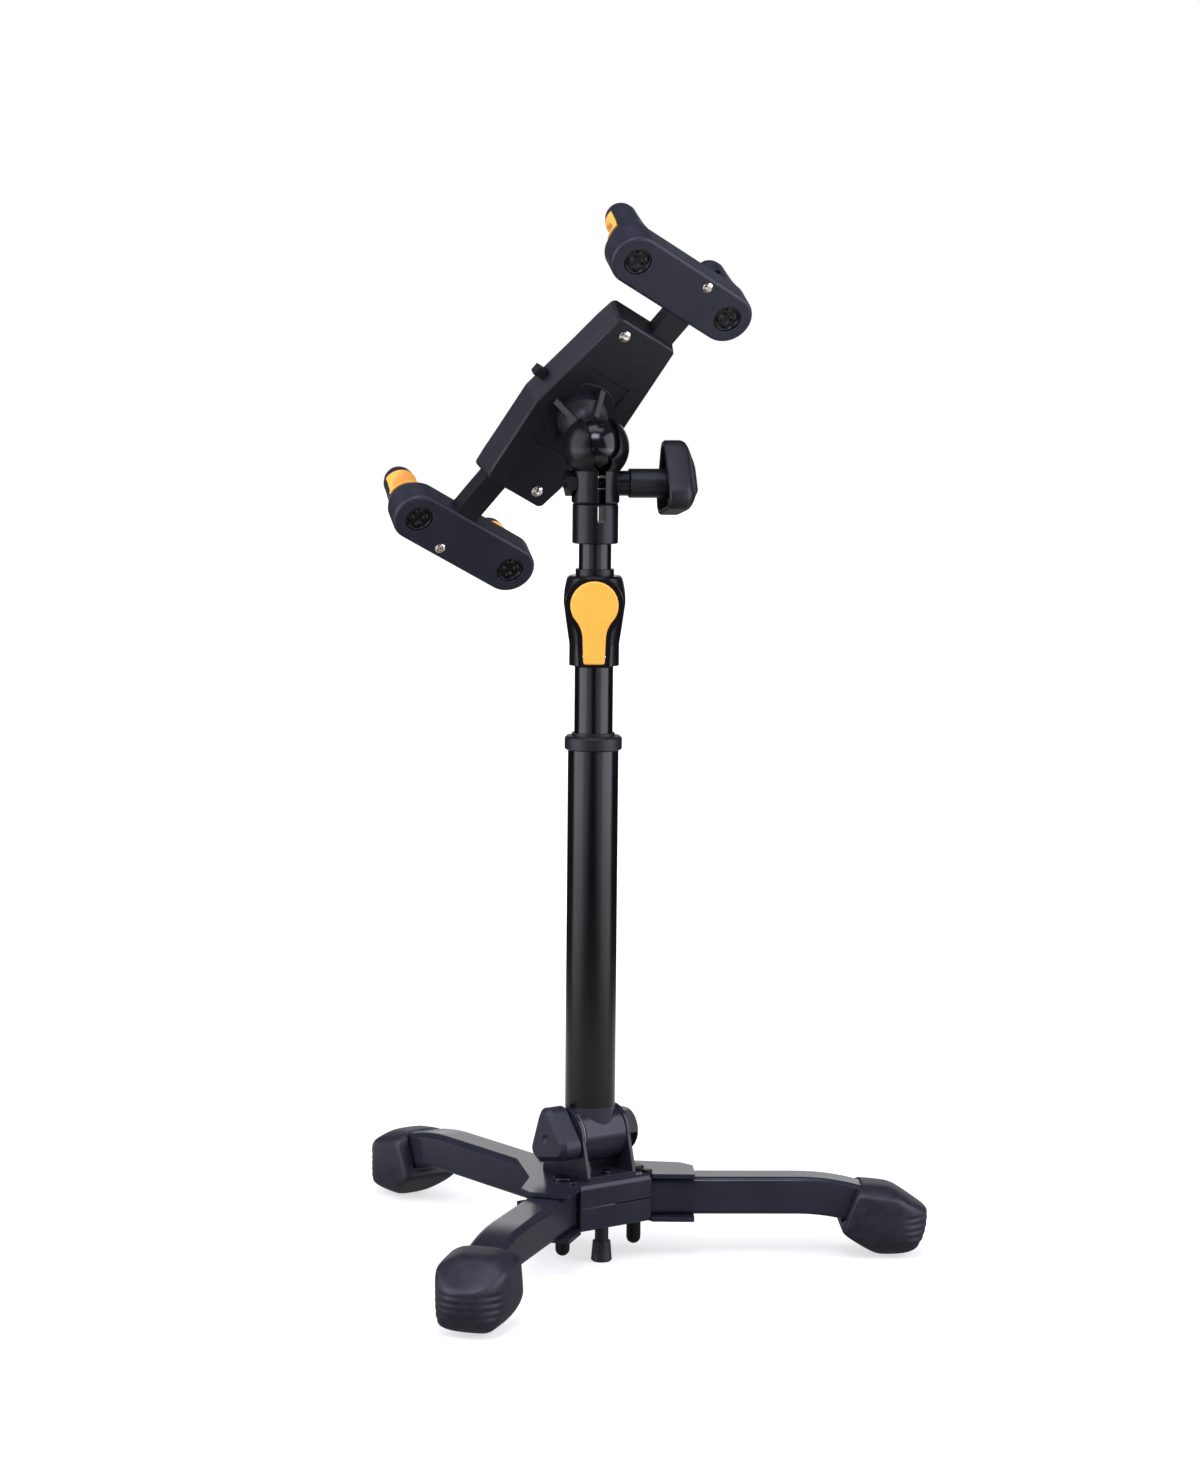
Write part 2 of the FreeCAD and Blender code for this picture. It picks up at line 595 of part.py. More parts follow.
def make_pivot_bolts():
    bolts = []
    nuts = []
    for x, y in ALL_PIVOTS:
        head = post(PIVOT_HEAD_RADIUS, TOP_PLATE_TOP, TOP_PLATE_TOP + PIVOT_HEAD_HEIGHT, x, y)
        head = head.makeFillet(PIVOT_HEAD_ROUND, [head.Edges[0]])
        shank_end = BOTTOM_PLATE_UNDER - CAP_NUT_LENGTH / 2
        bolts.append(head.fuse(post(PIVOT_BOLT_RADIUS, shank_end, TOP_PLATE_TOP, x, y)))
        foot = BOTTOM_PLATE_UNDER - CAP_NUT_LENGTH
        nut = post(CAP_NUT_RADIUS, foot + CAP_NUT_RADIUS, BOTTOM_PLATE_UNDER, x, y)
        dome = Part.makeSphere(CAP_NUT_RADIUS, vec(x, y, foot + CAP_NUT_RADIUS))
        flange_foot = BOTTOM_PLATE_UNDER - CAP_NUT_FLANGE_HEIGHT
        flange = post(CAP_NUT_RADIUS + CAP_NUT_FLANGE, flange_foot, BOTTOM_PLATE_UNDER, x, y)
        bore = post(PIVOT_BOLT_RADIUS, shank_end, BOTTOM_PLATE_UNDER, x, y)
        nuts.append(nut.fuse([dome, flange]).cut(bore))
    keep("pivot_bolts", Part.makeCompound(bolts), HUB_FRAME)
    keep("cap_nuts", Part.makeCompound(nuts), HUB_FRAME)


def make_leg_washers():
    rings = []
    inner = PIVOT_BOLT_RADIUS
    outer = LEG_SIZE / 2 - LEG_WASHER_INSET
    for x, y in ALL_PIVOTS:
        rings.append(ring(outer, inner, TOP_PLATE_UNDER - WASHER_THICKNESS, TOP_PLATE_UNDER, x, y))
        rings.append(ring(outer, inner, BOTTOM_PLATE_TOP, BOTTOM_PLATE_TOP + WASHER_THICKNESS, x, y))
    keep("leg_washers", Part.makeCompound(rings), HUB_FRAME)


def make_bumper():
    lip = BUMPER_LIP
    profile = [
        (0, 0), (BUMPER_RADIUS - lip, 0), (BUMPER_RADIUS, lip), (BUMPER_RADIUS - lip, BUMPER_HEIGHT),
        (BUMPER_NECK_RADIUS, BUMPER_HEIGHT), (BUMPER_NECK_RADIUS, BOTTOM_PLATE_UNDER),
        (PLATE_SCREW_RADIUS / 2, BOTTOM_PLATE_UNDER), (PLATE_SCREW_RADIUS / 2, BOTTOM_PLATE_TOP),
        (0, BOTTOM_PLATE_TOP)]
    keep("centre_bumper", moved(turned(profile), BUMPER_AHEAD), HUB_FRAME)


# Legs, drawn along +X from the pivot at the leg's own height

def leg_bar(size, corner, start):
    half = size / 2
    corners = [vec(start, -half, -half), vec(start, half, -half),
               vec(start, half, half), vec(start, -half, half)]
    face = Part.Face(rounded_wire(corners, corner))
    level = face.extrude(vec(LEG_LEVEL - start, 0, 0))
    end_face = face.copy()
    end_face.translate(vec(LEG_LEVEL - start, 0, 0))
    bend_centre = vec(LEG_LEVEL, 0, -LEG_BEND_RADIUS)
    bend = end_face.revolve(bend_centre, vec(0, 1, 0), LEG_BEND_ANGLE)
    toe_face = turned_by(end_face, LEG_BEND_ANGLE, vec(0, 1, 0), bend_centre)
    toe = toe_face.extrude(direction(0, -LEG_BEND_ANGLE) * LEG_TOE_LENGTH)
    return level.fuse([bend, toe]).removeSplitter()


def leg_outside():
    half = LEG_SIZE / 2
    rest = block(0, 2 * LEG_LEVEL, -LEG_SIZE, LEG_SIZE, -2 * LEG_MID_HEIGHT, LEG_SIZE)
    rounded_end = post(half, -LEG_SIZE, LEG_SIZE).fuse(rest)
    return leg_bar(LEG_SIZE, LEG_CORNER, -half).common(rounded_end)


def leg_tube():
    inside = leg_bar(LEG_SIZE - 2 * LEG_WALL, LEG_CORNER - LEG_WALL, LEG_SIZE / 2)
    bore = post(PIVOT_BOLT_RADIUS + RUNNING, -LEG_SIZE, LEG_SIZE)
    return leg_outside().cut(inside).cut(bore)


def rounded_prism(corners, travel):
    return Part.Face(rounded_wire(corners, FOOT_ROUND)).extrude(travel)


def shaved(shape, corners):
    # takes off what lies above the plane through three corners given anticlockwise from above
    a, b, c = [vec(x, y, z - LEG_MID_HEIGHT) for x, y, z in corners]
    normal = (b - a).cross(c - a).normalize()
    along = (b - a).normalize()
    size = 4 * FOOT_HEIGHT
    chip = block(-size, size, -size, size, 0, size)
    chip.Placement = frame_at(a, along, normal.cross(along), normal)
    return shape.cut(chip)


def other_side(corner):
    return (corner[0], -corner[1], corner[2])


def foot():
    # rubber shoe: a rounded lower half and a faceted cap that slopes down to the toe
    base = -LEG_MID_HEIGHT
    wide = FOOT_END_VIEW[0][0]
    side = [vec(x, -wide, base + z) for x, z in FOOT_SIDE_VIEW]
    plan = [vec(x, y, base) for x, y in mirrored_outline(FOOT_PLAN_VIEW)]
    rear = FOOT_PLAN_VIEW[0][0]
    end = [vec(rear, y, base + z) for y, z in FOOT_END_VIEW]
    end += [vec(rear, -y, base + z) for y, z in reversed(FOOT_END_VIEW)]
    body = rounded_prism(side, vec(0, 2 * wide, 0))
    body = body.common(rounded_prism(plan, vec(0, 0, FOOT_HEIGHT)))
    body = body.common(rounded_prism(end, vec(FOOT_PLAN_VIEW[-1][0] - rear, 0, 0)))
    body = shaved(body, [other_side(FOOT_REAR_TOP), other_side(FOOT_FRONT_TOP), FOOT_REAR_TOP])
    body = shaved(body, [FOOT_REAR_TOP, FOOT_FRONT_TOP, FOOT_REAR_SHOULDER])
    left = [other_side(FOOT_FRONT_TOP), other_side(FOOT_REAR_TOP), other_side(FOOT_REAR_SHOULDER)]
    body = shaved(body, left)
    body = shaved(body, [other_side(FOOT_FRONT_TOP), other_side(FOOT_TOE), FOOT_TOE])
    body = shaved(body, [FOOT_FRONT_TOP, FOOT_TOE, FOOT_FRONT_SHOULDER])
    body = shaved(body, [other_side(FOOT_TOE), other_side(FOOT_FRONT_TOP), other_side(FOOT_FRONT_SHOULDER)])
    mouth = leg_bar(LEG_SIZE + 2 * FOOT_MOUTH_GAP, FOOT_MOUTH_ROUND, 0)
    mouth = mouth.common(block(0, FOOT_MOUTH_END, -LEG_SIZE, LEG_SIZE, -2 * FOOT_HEIGHT, LEG_SIZE))
    return body.cut(mouth).cut(leg_outside())


def make_legs():
    lift = vec(0, 0, LEG_MID_HEIGHT)
    places = {
        "right": (FRONT_PIVOTS[1], LEG_SPLAY), "front_left": (FRONT_PIVOTS[0], -LEG_SPLAY),
        "rear": (ALL_PIVOTS[2], 180.0)}
    for name, (pivot, angle) in places.items():
        for kind, shape in (("leg", leg_tube()), ("foot", foot())):
            piece = turned_by(shape, angle)
            piece.translate(lift + vec(pivot[0], pivot[1], 0))
            keep(kind + "_" + name, piece, HUB_FRAME)


# Tilting joint, in the hub's directions

def make_bracket():
    bracket = block(-BRACKET_BACK, BRACKET_FRONT, -EAR_OUTER, EAR_OUTER, TOP_PLATE_TOP, BRACKET_TOP)
    for inner, outer in ((EAR_INNER, EAR_OUTER), (-EAR_OUTER, -EAR_INNER)):
        corners = [
            vec(-BRACKET_BACK, inner, TOP_PLATE_TOP), vec(BRACKET_FRONT, inner, TOP_PLATE_TOP),
            vec(BRACKET_FRONT - BRACKET_TAPER, inner, BRACKET_TOP + BRACKET_STEP),
            vec(EAR_RADIUS, inner, TILT_HEIGHT), vec(-EAR_RADIUS, inner, TILT_HEIGHT),
            vec(BRACKET_TAPER - BRACKET_BACK, inner, BRACKET_TOP + BRACKET_STEP)]
        web = Part.Face(Part.makePolygon(corners + corners[:1])).extrude(vec(0, outer - inner, 0))
        bracket = bracket.fuse([web, along_y(EAR_RADIUS, inner, outer, 0, TILT_HEIGHT)])
    bracket = bracket.cut(along_y(TILT_BOLT_RADIUS, -EAR_OUTER, EAR_OUTER, 0, TILT_HEIGHT))
    for x, y in BRACKET_SCREWS:
        bracket = bracket.cut(post(PLATE_SCREW_RADIUS / 2, TOP_PLATE_TOP, BRACKET_TOP, x, y))
    keep("tilt_bracket", bracket.removeSplitter(), HUB_FRAME)


def make_knuckle():
    barrel = along_y(KNUCKLE_RADIUS, -KNUCKLE_HALF_LENGTH, KNUCKLE_HALF_LENGTH, 0, TILT_HEIGHT)
    neck = post(TUBE_RADIUS, TILT_HEIGHT, TUBE_BOTTOM)
    slab_between_ears = block(-TUBE_RADIUS, TUBE_RADIUS, -KNUCKLE_HALF_LENGTH, KNUCKLE_HALF_LENGTH,
                              TILT_HEIGHT, TUBE_BOTTOM)
    spigot = post(TUBE_RADIUS - TUBE_WALL, TUBE_BOTTOM, TUBE_BOTTOM + 2 * TUBE_RADIUS)
    bore = along_y(TILT_BOLT_RADIUS + RUNNING, -KNUCKLE_RADIUS, KNUCKLE_RADIUS, 0, TILT_HEIGHT)
    keep("mast_knuckle", barrel.fuse([neck.common(slab_between_ears), spigot]).cut(bore), HUB_FRAME)
    rings = []
    for start in (-KNUCKLE_HALF_LENGTH - FRICTION_WASHER_THICKNESS, KNUCKLE_HALF_LENGTH):
        end = start + FRICTION_WASHER_THICKNESS
        disc = along_y(FRICTION_WASHER_RADIUS, start, end, 0, TILT_HEIGHT)
        rings.append(disc.cut(along_y(TILT_BOLT_RADIUS + RUNNING, start, end, 0, TILT_HEIGHT)))
    keep("friction_washers", Part.makeCompound(rings), HUB_FRAME)


def upright_y(shape, y, z):
    # piece drawn along +Z, laid along +Y
    laid = turned_by(shape, -90, vec(1, 0, 0))
    return moved(laid, 0, y, z)


def make_tilt_fasteners():
    nut_start = EAR_OUTER + TILT_WASHER_THICKNESS
    nut_end = nut_start + TILT_NUT_THICKNESS
    washer = ring(TILT_WASHER_RADIUS, TILT_BOLT_RADIUS, 0, TILT_WASHER_THICKNESS)
    left = -EAR_OUTER - TILT_WASHER_THICKNESS
    washers = [upright_y(washer, EAR_OUTER, TILT_HEIGHT), upright_y(washer, left, TILT_HEIGHT)]
    keep("tilt_washers", Part.makeCompound(washers), HUB_FRAME)
    crown = Part.makeCone(TILT_NUT_CORNER_RADIUS * (1 + TILT_NUT_CROWN),
                          TILT_NUT_CORNER_RADIUS * (1 - TILT_NUT_CROWN / 2), TILT_NUT_THICKNESS)
    nut = hexagon(TILT_NUT_CORNER_RADIUS, 0, TILT_NUT_THICKNESS).common(crown)
    nut = nut.cut(post(TILT_BOLT_RADIUS, 0, TILT_NUT_THICKNESS))
    keep("tilt_nut", upright_y(nut, nut_start, TILT_HEIGHT), HUB_FRAME)
    knob_start = left - FREE
    bolt_end = knob_start - TILT_BOLT_ENTRY
    keep("tilt_bolt", along_y(TILT_BOLT_RADIUS, bolt_end, nut_end, 0, TILT_HEIGHT), HUB_FRAME)


def make_tilt_knob():
    knob = slab(lobed_outline(TILT_KNOB_RADIUS, TILT_KNOB_LOBE, TILT_KNOB_TURN), TILT_KNOB_LOBE, 0,
                TILT_KNOB_LENGTH)
    outer_face = [edge for edge in knob.Edges if edge.BoundBox.ZMin > TILT_KNOB_LENGTH - RUNNING]
    knob = knob.makeChamfer(TILT_KNOB_CHAMFER, outer_face)
    knob = knob.cut(post(TILT_BOLT_RADIUS + RUNNING, 0, TILT_BOLT_ENTRY + FREE))
    dimple_centre = TILT_KNOB_LENGTH + DIMPLE_RADIUS - DIMPLE_DEPTH
    knob = turned_by(knob.cut(Part.makeSphere(DIMPLE_RADIUS, vec(0, 0, dimple_centre))), 90, vec(1, 0, 0))
    start = -EAR_OUTER - TILT_WASHER_THICKNESS - FREE
    keep("tilt_knob", moved(knob, 0, start, TILT_HEIGHT), HUB_FRAME)


# Mast, drawn about its own axis at its real heights

def make_mast_tubes():
    inside = TUBE_RADIUS - TUBE_WALL
    keep("outer_tube", ring(TUBE_RADIUS, inside, TUBE_BOTTOM, TUBE_TOP), MAST_FRAME)
    collar = turned([
        (INNER_TUBE_RADIUS, TUBE_TOP), (TUBE_RADIUS, TUBE_TOP), (TUBE_RADIUS, COLLAR_BOTTOM),
        (COLLAR_RADIUS - COLLAR_LOWER_CHAMFER, COLLAR_BOTTOM),
        (COLLAR_RADIUS, COLLAR_BOTTOM + COLLAR_LOWER_CHAMFER),
        (COLLAR_RADIUS, COLLAR_TOP - COLLAR_UPPER_CHAMFER),
        (COLLAR_RADIUS - COLLAR_UPPER_CHAMFER, COLLAR_TOP),
        (COLLAR_LIP_RADIUS, COLLAR_TOP), (COLLAR_LIP_RADIUS, COLLAR_TOP + COLLAR_LIP),
        (INNER_TUBE_RADIUS, COLLAR_TOP + COLLAR_LIP)])
    keep("tube_collar", collar, MAST_FRAME)
    bush_top = INNER_TUBE_BOTTOM + BUSH_LENGTH
    keep("guide_bush", ring(inside, INNER_TUBE_RADIUS, INNER_TUBE_BOTTOM, bush_top), MAST_FRAME)
    inner_top = CLUTCH_BOTTOM + CLUTCH_SOCKET_DEPTH
    bore = INNER_TUBE_RADIUS - INNER_TUBE_WALL
    keep("inner_tube", ring(INNER_TUBE_RADIUS, bore, INNER_TUBE_BOTTOM, inner_top), MAST_FRAME)


def make_rod():
    rod = ring(ROD_RADIUS, ROD_RADIUS - ROD_WALL, ROD_BOTTOM, ROD_TOP)
    keep("rod", rod, MAST_FRAME)


def keyhole(grow, front, back):
    # round head whose hollow shoulders run into a narrow tail, laid in the front of the clutch
    tail_top = LEVER_TAIL_TOP_HALF_WIDTH + LEVER_SHOULDER_RADIUS
    drop = math.sqrt((LEVER_HEAD_RADIUS + LEVER_SHOULDER_RADIUS) ** 2 - tail_top ** 2)
    neck = CLUTCH_BELLY_HEIGHT - drop
    touch_x = tail_top * LEVER_HEAD_RADIUS / (LEVER_HEAD_RADIUS + LEVER_SHOULDER_RADIUS)
    touch_z = CLUTCH_BELLY_HEIGHT - drop * LEVER_HEAD_RADIUS / (LEVER_HEAD_RADIUS + LEVER_SHOULDER_RADIUS)
    middle = math.atan2(touch_z - neck, touch_x - tail_top) / 2 + math.pi / 2
    bend_x = tail_top + LEVER_SHOULDER_RADIUS * math.cos(middle)
    bend_z = neck + LEVER_SHOULDER_RADIUS * math.sin(middle)
    low = LEVER_TAIL_END
    y = -front
    edges = [
        Part.Arc(vec(touch_x, y, touch_z), vec(0, y, CLUTCH_BELLY_HEIGHT + LEVER_HEAD_RADIUS),
                 vec(-touch_x, y, touch_z)).toShape(),
        Part.Arc(vec(-touch_x, y, touch_z), vec(-bend_x, y, bend_z),
                 vec(-LEVER_TAIL_TOP_HALF_WIDTH, y, neck)).toShape(),
        Part.LineSegment(vec(-LEVER_TAIL_TOP_HALF_WIDTH, y, neck),
                         vec(-LEVER_TAIL_HALF_WIDTH, y, low)).toShape(),
        Part.LineSegment(vec(-LEVER_TAIL_HALF_WIDTH, y, low), vec(LEVER_TAIL_HALF_WIDTH, y, low)).toShape(),
        Part.LineSegment(vec(LEVER_TAIL_HALF_WIDTH, y, low),
                         vec(LEVER_TAIL_TOP_HALF_WIDTH, y, neck)).toShape(),
        Part.Arc(vec(LEVER_TAIL_TOP_HALF_WIDTH, y, neck), vec(bend_x, y, bend_z),
                 vec(touch_x, y, touch_z)).toShape()]
    outline = Part.Wire(edges)
    if grow:
        outline = outline.makeOffset2D(grow)
    shape = Part.Face(outline).extrude(vec(0, front - back, 0))
    foot_edges = [edge for edge in shape.Edges if edge.BoundBox.ZMax < low + LEVER_PIN_RISE
                  and edge.BoundBox.YLength > (front - back) / 2]
    if foot_edges and not grow:
        shape = shape.makeFillet(LEVER_TAIL_ROUND, foot_edges)
    return shape


def clutch_outside():
    neck_top = CLUTCH_BELLY_HEIGHT - CLUTCH_SWELL_LENGTH
    middle = CLUTCH_BELLY_HEIGHT - CLUTCH_SWELL_LENGTH / 2
    crown = CLUTCH_BELLY_HEIGHT + CLUTCH_CROWN_LENGTH / 2
    ring_root = CLUTCH_SHOULDER_RADIUS - CLUTCH_SHOULDER_CHAMFER
    edges = [
        Part.LineSegment(vec(0, 0, CLUTCH_BOTTOM), vec(CLUTCH_NECK_RADIUS, 0, CLUTCH_BOTTOM)).toShape(),
        Part.LineSegment(vec(CLUTCH_NECK_RADIUS, 0, CLUTCH_BOTTOM),
                         vec(CLUTCH_NECK_RADIUS, 0, neck_top)).toShape(),
        Part.Arc(vec(CLUTCH_NECK_RADIUS, 0, neck_top),
                 vec(CLUTCH_NECK_RADIUS + CLUTCH_SWELL_BULGE, 0, middle),
                 vec(CLUTCH_BELLY_RADIUS, 0, CLUTCH_BELLY_HEIGHT)).toShape(),
        Part.Arc(vec(CLUTCH_BELLY_RADIUS, 0, CLUTCH_BELLY_HEIGHT),
                 vec(CLUTCH_BELLY_RADIUS - CLUTCH_CROWN_BULGE, 0, crown),
                 vec(CLUTCH_SHOULDER_RADIUS, 0, CLUTCH_SHOULDER)).toShape(),
        Part.LineSegment(vec(CLUTCH_SHOULDER_RADIUS, 0, CLUTCH_SHOULDER),
                         vec(ring_root, 0, CLUTCH_RING_BOTTOM)).toShape(),
        Part.LineSegment(vec(ring_root, 0, CLUTCH_RING_BOTTOM), vec(0, 0, CLUTCH_RING_BOTTOM)).toShape(),
        Part.LineSegment(vec(0, 0, CLUTCH_RING_BOTTOM), vec(0, 0, CLUTCH_BOTTOM)).toShape()]
    body = Part.Face(Part.Wire(edges)).revolve(vec(0, 0, 0), UP, 360)
    return body.fuse(post(CLUTCH_RING_RADIUS, CLUTCH_RING_BOTTOM, CLUTCH_TOP))


def flat_round(radius, bottom, top, wall):
    # disc or chamber with a flat behind the lever's pocket
    flat = POCKET_FLOOR - wall
    return post(radius, bottom, top).common(block(-radius, radius, -flat, radius, bottom, top))


def make_clutch():
    rim = keyhole(LEVER_SLACK + RIM_WIDTH, RIM_FACE, 0)
    wide = 2 * TUBE_RADIUS
    rim = rim.common(block(-wide, wide, -RIM_FACE, 0, CLUTCH_BOTTOM, CLUTCH_SHOULDER))
    body = clutch_outside().fuse(rim)
    body = body.cut(keyhole(LEVER_SLACK, 2 * LEVER_FACE, POCKET_FLOOR))
    body = body.cut(flat_round(CAVITY_RADIUS, CAVITY_BOTTOM, CAVITY_TOP, CAVITY_WALL))
    socket_top = CLUTCH_BOTTOM + CLUTCH_SOCKET_DEPTH
    body = body.cut(post(INNER_TUBE_RADIUS, CLUTCH_BOTTOM, socket_top))
    body = body.cut(post(ROD_RADIUS + RUNNING, CLUTCH_BOTTOM, CLUTCH_TOP))
    pin_end = LEVER_TAIL_HALF_WIDTH + LEVER_SLACK + RIM_WIDTH - RUNNING
    pin_y = -LEVER_BACK - LEVER_PIN_DEPTH
    pin = along_x(LEVER_PIN_RADIUS, -pin_end, pin_end, pin_y, LEVER_PIN_HEIGHT)
    keep("clutch_housing", body.cut(pin), MAST_FRAME)
    keep("lever_pin", pin, MAST_FRAME)
    lever = keyhole(0, LEVER_FACE, LEVER_BACK)
    front_edges = [edge for edge in lever.Edges if edge.BoundBox.YMax < RUNNING - LEVER_FACE]
    lever = lever.makeFillet(LEVER_EDGE_ROUND, front_edges)
    pin_hole = along_x(LEVER_PIN_RADIUS + RUNNING, -pin_end, pin_end, pin_y, LEVER_PIN_HEIGHT)
    keep("clutch_lever", lever.cut(pin_hole), MAST_FRAME)


def half_coil(start, rise, side):
    # half a turn of round wire in a slightly tilted plane, from one side of the rod to the other
    ring_face = Part.Face(Part.Wire(Part.makeCircle(
        SPRING_WIRE_RADIUS, vec(side * SPRING_RADIUS, 0, start), vec(0, 1, 0))))
    return ring_face.revolve(vec(0, 0, start + rise / 2), vec(side * rise, 0, 2 * SPRING_RADIUS), 180)


def make_clutch_inside():
    # spring that lifts a tilted plate until it bites on the rod
    coil_bottom = CAVITY_BOTTOM + SPRING_WIRE_RADIUS + RUNNING
    rise = SPRING_PITCH / 2
    halves = []
    for i in range(2 * SPRING_TURNS):
        halves.append(half_coil(coil_bottom + i * rise, rise, 1 - 2 * (i % 2)))
    keep("clutch_spring", halves[0].fuse(halves[1:]), MAST_FRAME)
    lean = CAVITY_RADIUS * math.sin(math.radians(PLATE_TILT))
    plate_bottom = coil_bottom + SPRING_PITCH * SPRING_TURNS + SPRING_WIRE_RADIUS + lean
    top = plate_bottom + LOCK_PLATE_THICKNESS
    plate = flat_round(CAVITY_RADIUS - 2 * FREE, plate_bottom, top, CAVITY_WALL + FREE)
    plate = plate.cut(post(ROD_RADIUS + FREE, plate_bottom, top))
    centre = vec(0, 0, (plate_bottom + top) / 2)
    keep("lock_plate", turned_by(plate, PLATE_TILT, vec(1, 0, 0), centre), MAST_FRAME)


# Ball clamp, drawn with X along its bolt towards the knob

def make_clamp_base():
    c = CLAMP_BASE_CHAMFER
    stub_top = CLAMP_BASE_TOP + CLAMP_STUB_HEIGHT
    base = turned([
        (0, CLAMP_BASE_BOTTOM), (CLAMP_BASE_RADIUS - c, CLAMP_BASE_BOTTOM),
        (CLAMP_BASE_RADIUS, CLAMP_BASE_BOTTOM + c), (CLAMP_BASE_RADIUS, CLAMP_BASE_TOP - c),
        (CLAMP_BASE_RADIUS - c, CLAMP_BASE_TOP), (CLAMP_STUB_RADIUS, CLAMP_BASE_TOP),
        (CLAMP_STUB_RADIUS, stub_top), (0, stub_top)])
    socket_top = ROD_TOP + 2 * RUNNING
    base = base.cut(post(ROD_RADIUS + RUNNING, CLAMP_BASE_BOTTOM, socket_top))
    slit = block(SLIT_LEFT, SLIT_RIGHT, -CLAMP_BASE_RADIUS, CLAMP_BASE_RADIUS, socket_top + SLIT_WIDTH / 2,
                 CLAMP_BASE_TOP - BASE_SLIT_TOP)
    keep("clamp_base", base.cut(slit), CLAMP_FRAME)


def clamp_window():
    # opening in front of and behind the ball, in line with the stem and round at its lower end
    reach = SOCKET_OUTER_RADIUS
    half = WINDOW_HALF_WIDTH
    upper = block(-half, half, -reach, reach, WINDOW_HEIGHT, BALL_HEIGHT + reach)
    window = upper.fuse(along_y(half, -reach, reach, 0, WINDOW_HEIGHT))
    return turned_by(window, STEM_AZIMUTH - CLAMP_YAW - 90)


def clamp_body():
    c = CLAMP_NECK_CHAMFER
    bottom = CLAMP_BASE_TOP
    neck_top = BALL_HEIGHT - SOCKET_OUTER_RADIUS / 2
    neck = turned([
        (0, bottom), (CLAMP_NECK_RADIUS - c, bottom), (CLAMP_NECK_RADIUS, bottom + c),
        (CLAMP_NECK_RADIUS, neck_top), (0, neck_top)])
    globe = Part.makeSphere(SOCKET_OUTER_RADIUS, vec(0, 0, BALL_HEIGHT))
    boss = along_x(CLAMP_BOSS_RADIUS, 0, CLAMP_BOSS_END, 0, CLAMP_BOLT_HEIGHT)
    body = neck.fuse([globe, boss]).cut(clamp_window())
    body = body.cut(Part.makeSphere(BALL_SOCKET_RADIUS, vec(0, 0, BALL_HEIGHT)))
    body = body.cut(post(CLAMP_STUB_RADIUS, bottom, bottom + CLAMP_STUB_HEIGHT))
    reach = SOCKET_OUTER_RADIUS
    body = body.cut(along_y(RELIEF_RADIUS, -reach, reach, SLIT_OFFSET, RELIEF_HEIGHT))
    nut_room = CLAMP_NUT_FLATS / 2 + CLAMP_NUT_ROOM
    body = body.cut(along_x(nut_room, -reach, -CLAMP_NUT_SEAT, 0, CLAMP_BOLT_HEIGHT))
    return body.cut(along_x(CLAMP_BOLT_RADIUS, -reach, reach, 0, CLAMP_BOLT_HEIGHT))


def make_clamp_halves():
    size = SOCKET_OUTER_RADIUS
    high = BALL_HEIGHT + size
    body = clamp_body()
    left = block(-size, SLIT_LEFT, -size, size, CLAMP_BASE_TOP, high)
    right = block(SLIT_RIGHT, size, -size, size, CLAMP_BASE_TOP, high)
    keep("clamp_half_left", body.common(left), CLAMP_FRAME)
    keep("clamp_half_right", body.common(right), CLAMP_FRAME)


def upright_x(shape, x):
    # piece drawn along +Z, laid along +X on the clamp bolt
    laid = turned_by(shape, 90, vec(0, 1, 0))
    return moved(laid, x, 0, CLAMP_BOLT_HEIGHT)


def make_clamp_fasteners():
    nut_end = CLAMP_NUT_SEAT + CLAMP_NUT_THICKNESS
    corner = CLAMP_NUT_FLATS / math.sqrt(3)
    nut = hexagon(corner, 0, CLAMP_NUT_THICKNESS)
    nut = nut.cut(post(CLAMP_BOLT_RADIUS, 0, CLAMP_NUT_THICKNESS))
    keep("clamp_nut", upright_x(nut, -nut_end), CLAMP_FRAME)
    bolt_start = -nut_end - CLAMP_BOLT_PROUD
    bolt = along_x(CLAMP_BOLT_RADIUS, bolt_start, KNOB_END - KNOB_BORE_ROOF, 0, CLAMP_BOLT_HEIGHT)
    keep("clamp_bolt", bolt, CLAMP_FRAME)


def make_clamp_knob():
    start = CLAMP_BOSS_END + CLAMP_KNOB_GAP
    head_start = KNOB_START - start
    head_end = KNOB_END - start
    outline = lobed_outline(KNOB_RADIUS, KNOB_LOBE, KNOB_TURN)
    head = slab(outline, KNOB_LOBE, head_start, head_end)
    dome = turned([
        (0, head_start), (KNOB_RADIUS, head_start), (KNOB_RADIUS, KNOB_SHOULDER - start),
        (KNOB_DOME_RADIUS, head_end), (0, head_end)])
    head = head.common(dome)
    inner = lobed_outline(KNOB_RADIUS - KNOB_WALL, KNOB_LOBE - KNOB_WALL, KNOB_TURN)
    head = head.cut(slab(inner, KNOB_LOBE - KNOB_WALL, head_start, head_start + KNOB_HOLLOW_DEPTH))
    knob = head.fuse(post(SLEEVE_RADIUS, 0, head_start + KNOB_HOLLOW_DEPTH))
    knob = knob.cut(post(CLAMP_BOLT_RADIUS + RUNNING, 0, head_end - KNOB_BORE_ROOF + FREE))
    keep("clamp_knob", upright_x(knob, start), CLAMP_FRAME)


# Holder, drawn with X along the arms, Y along the bars and depth towards the tablet along -Z

def deep_slab(points, radius, depth0, depth1):
    return slab(points, radius, -depth1, -depth0)


def drafted(grow0, grow1, depth0, depth1):
    # body slab whose outline grows with the depth
    wires = []
    for grow, depth in ((grow0, depth0), (grow1, depth1)):
        corners = [vec(x, y, -depth) for x, y in body_outline(grow)]
        wires.append(rounded_wire(corners, BODY_CORNER_ROUND))
    return Part.makeLoft(wires, True, True)


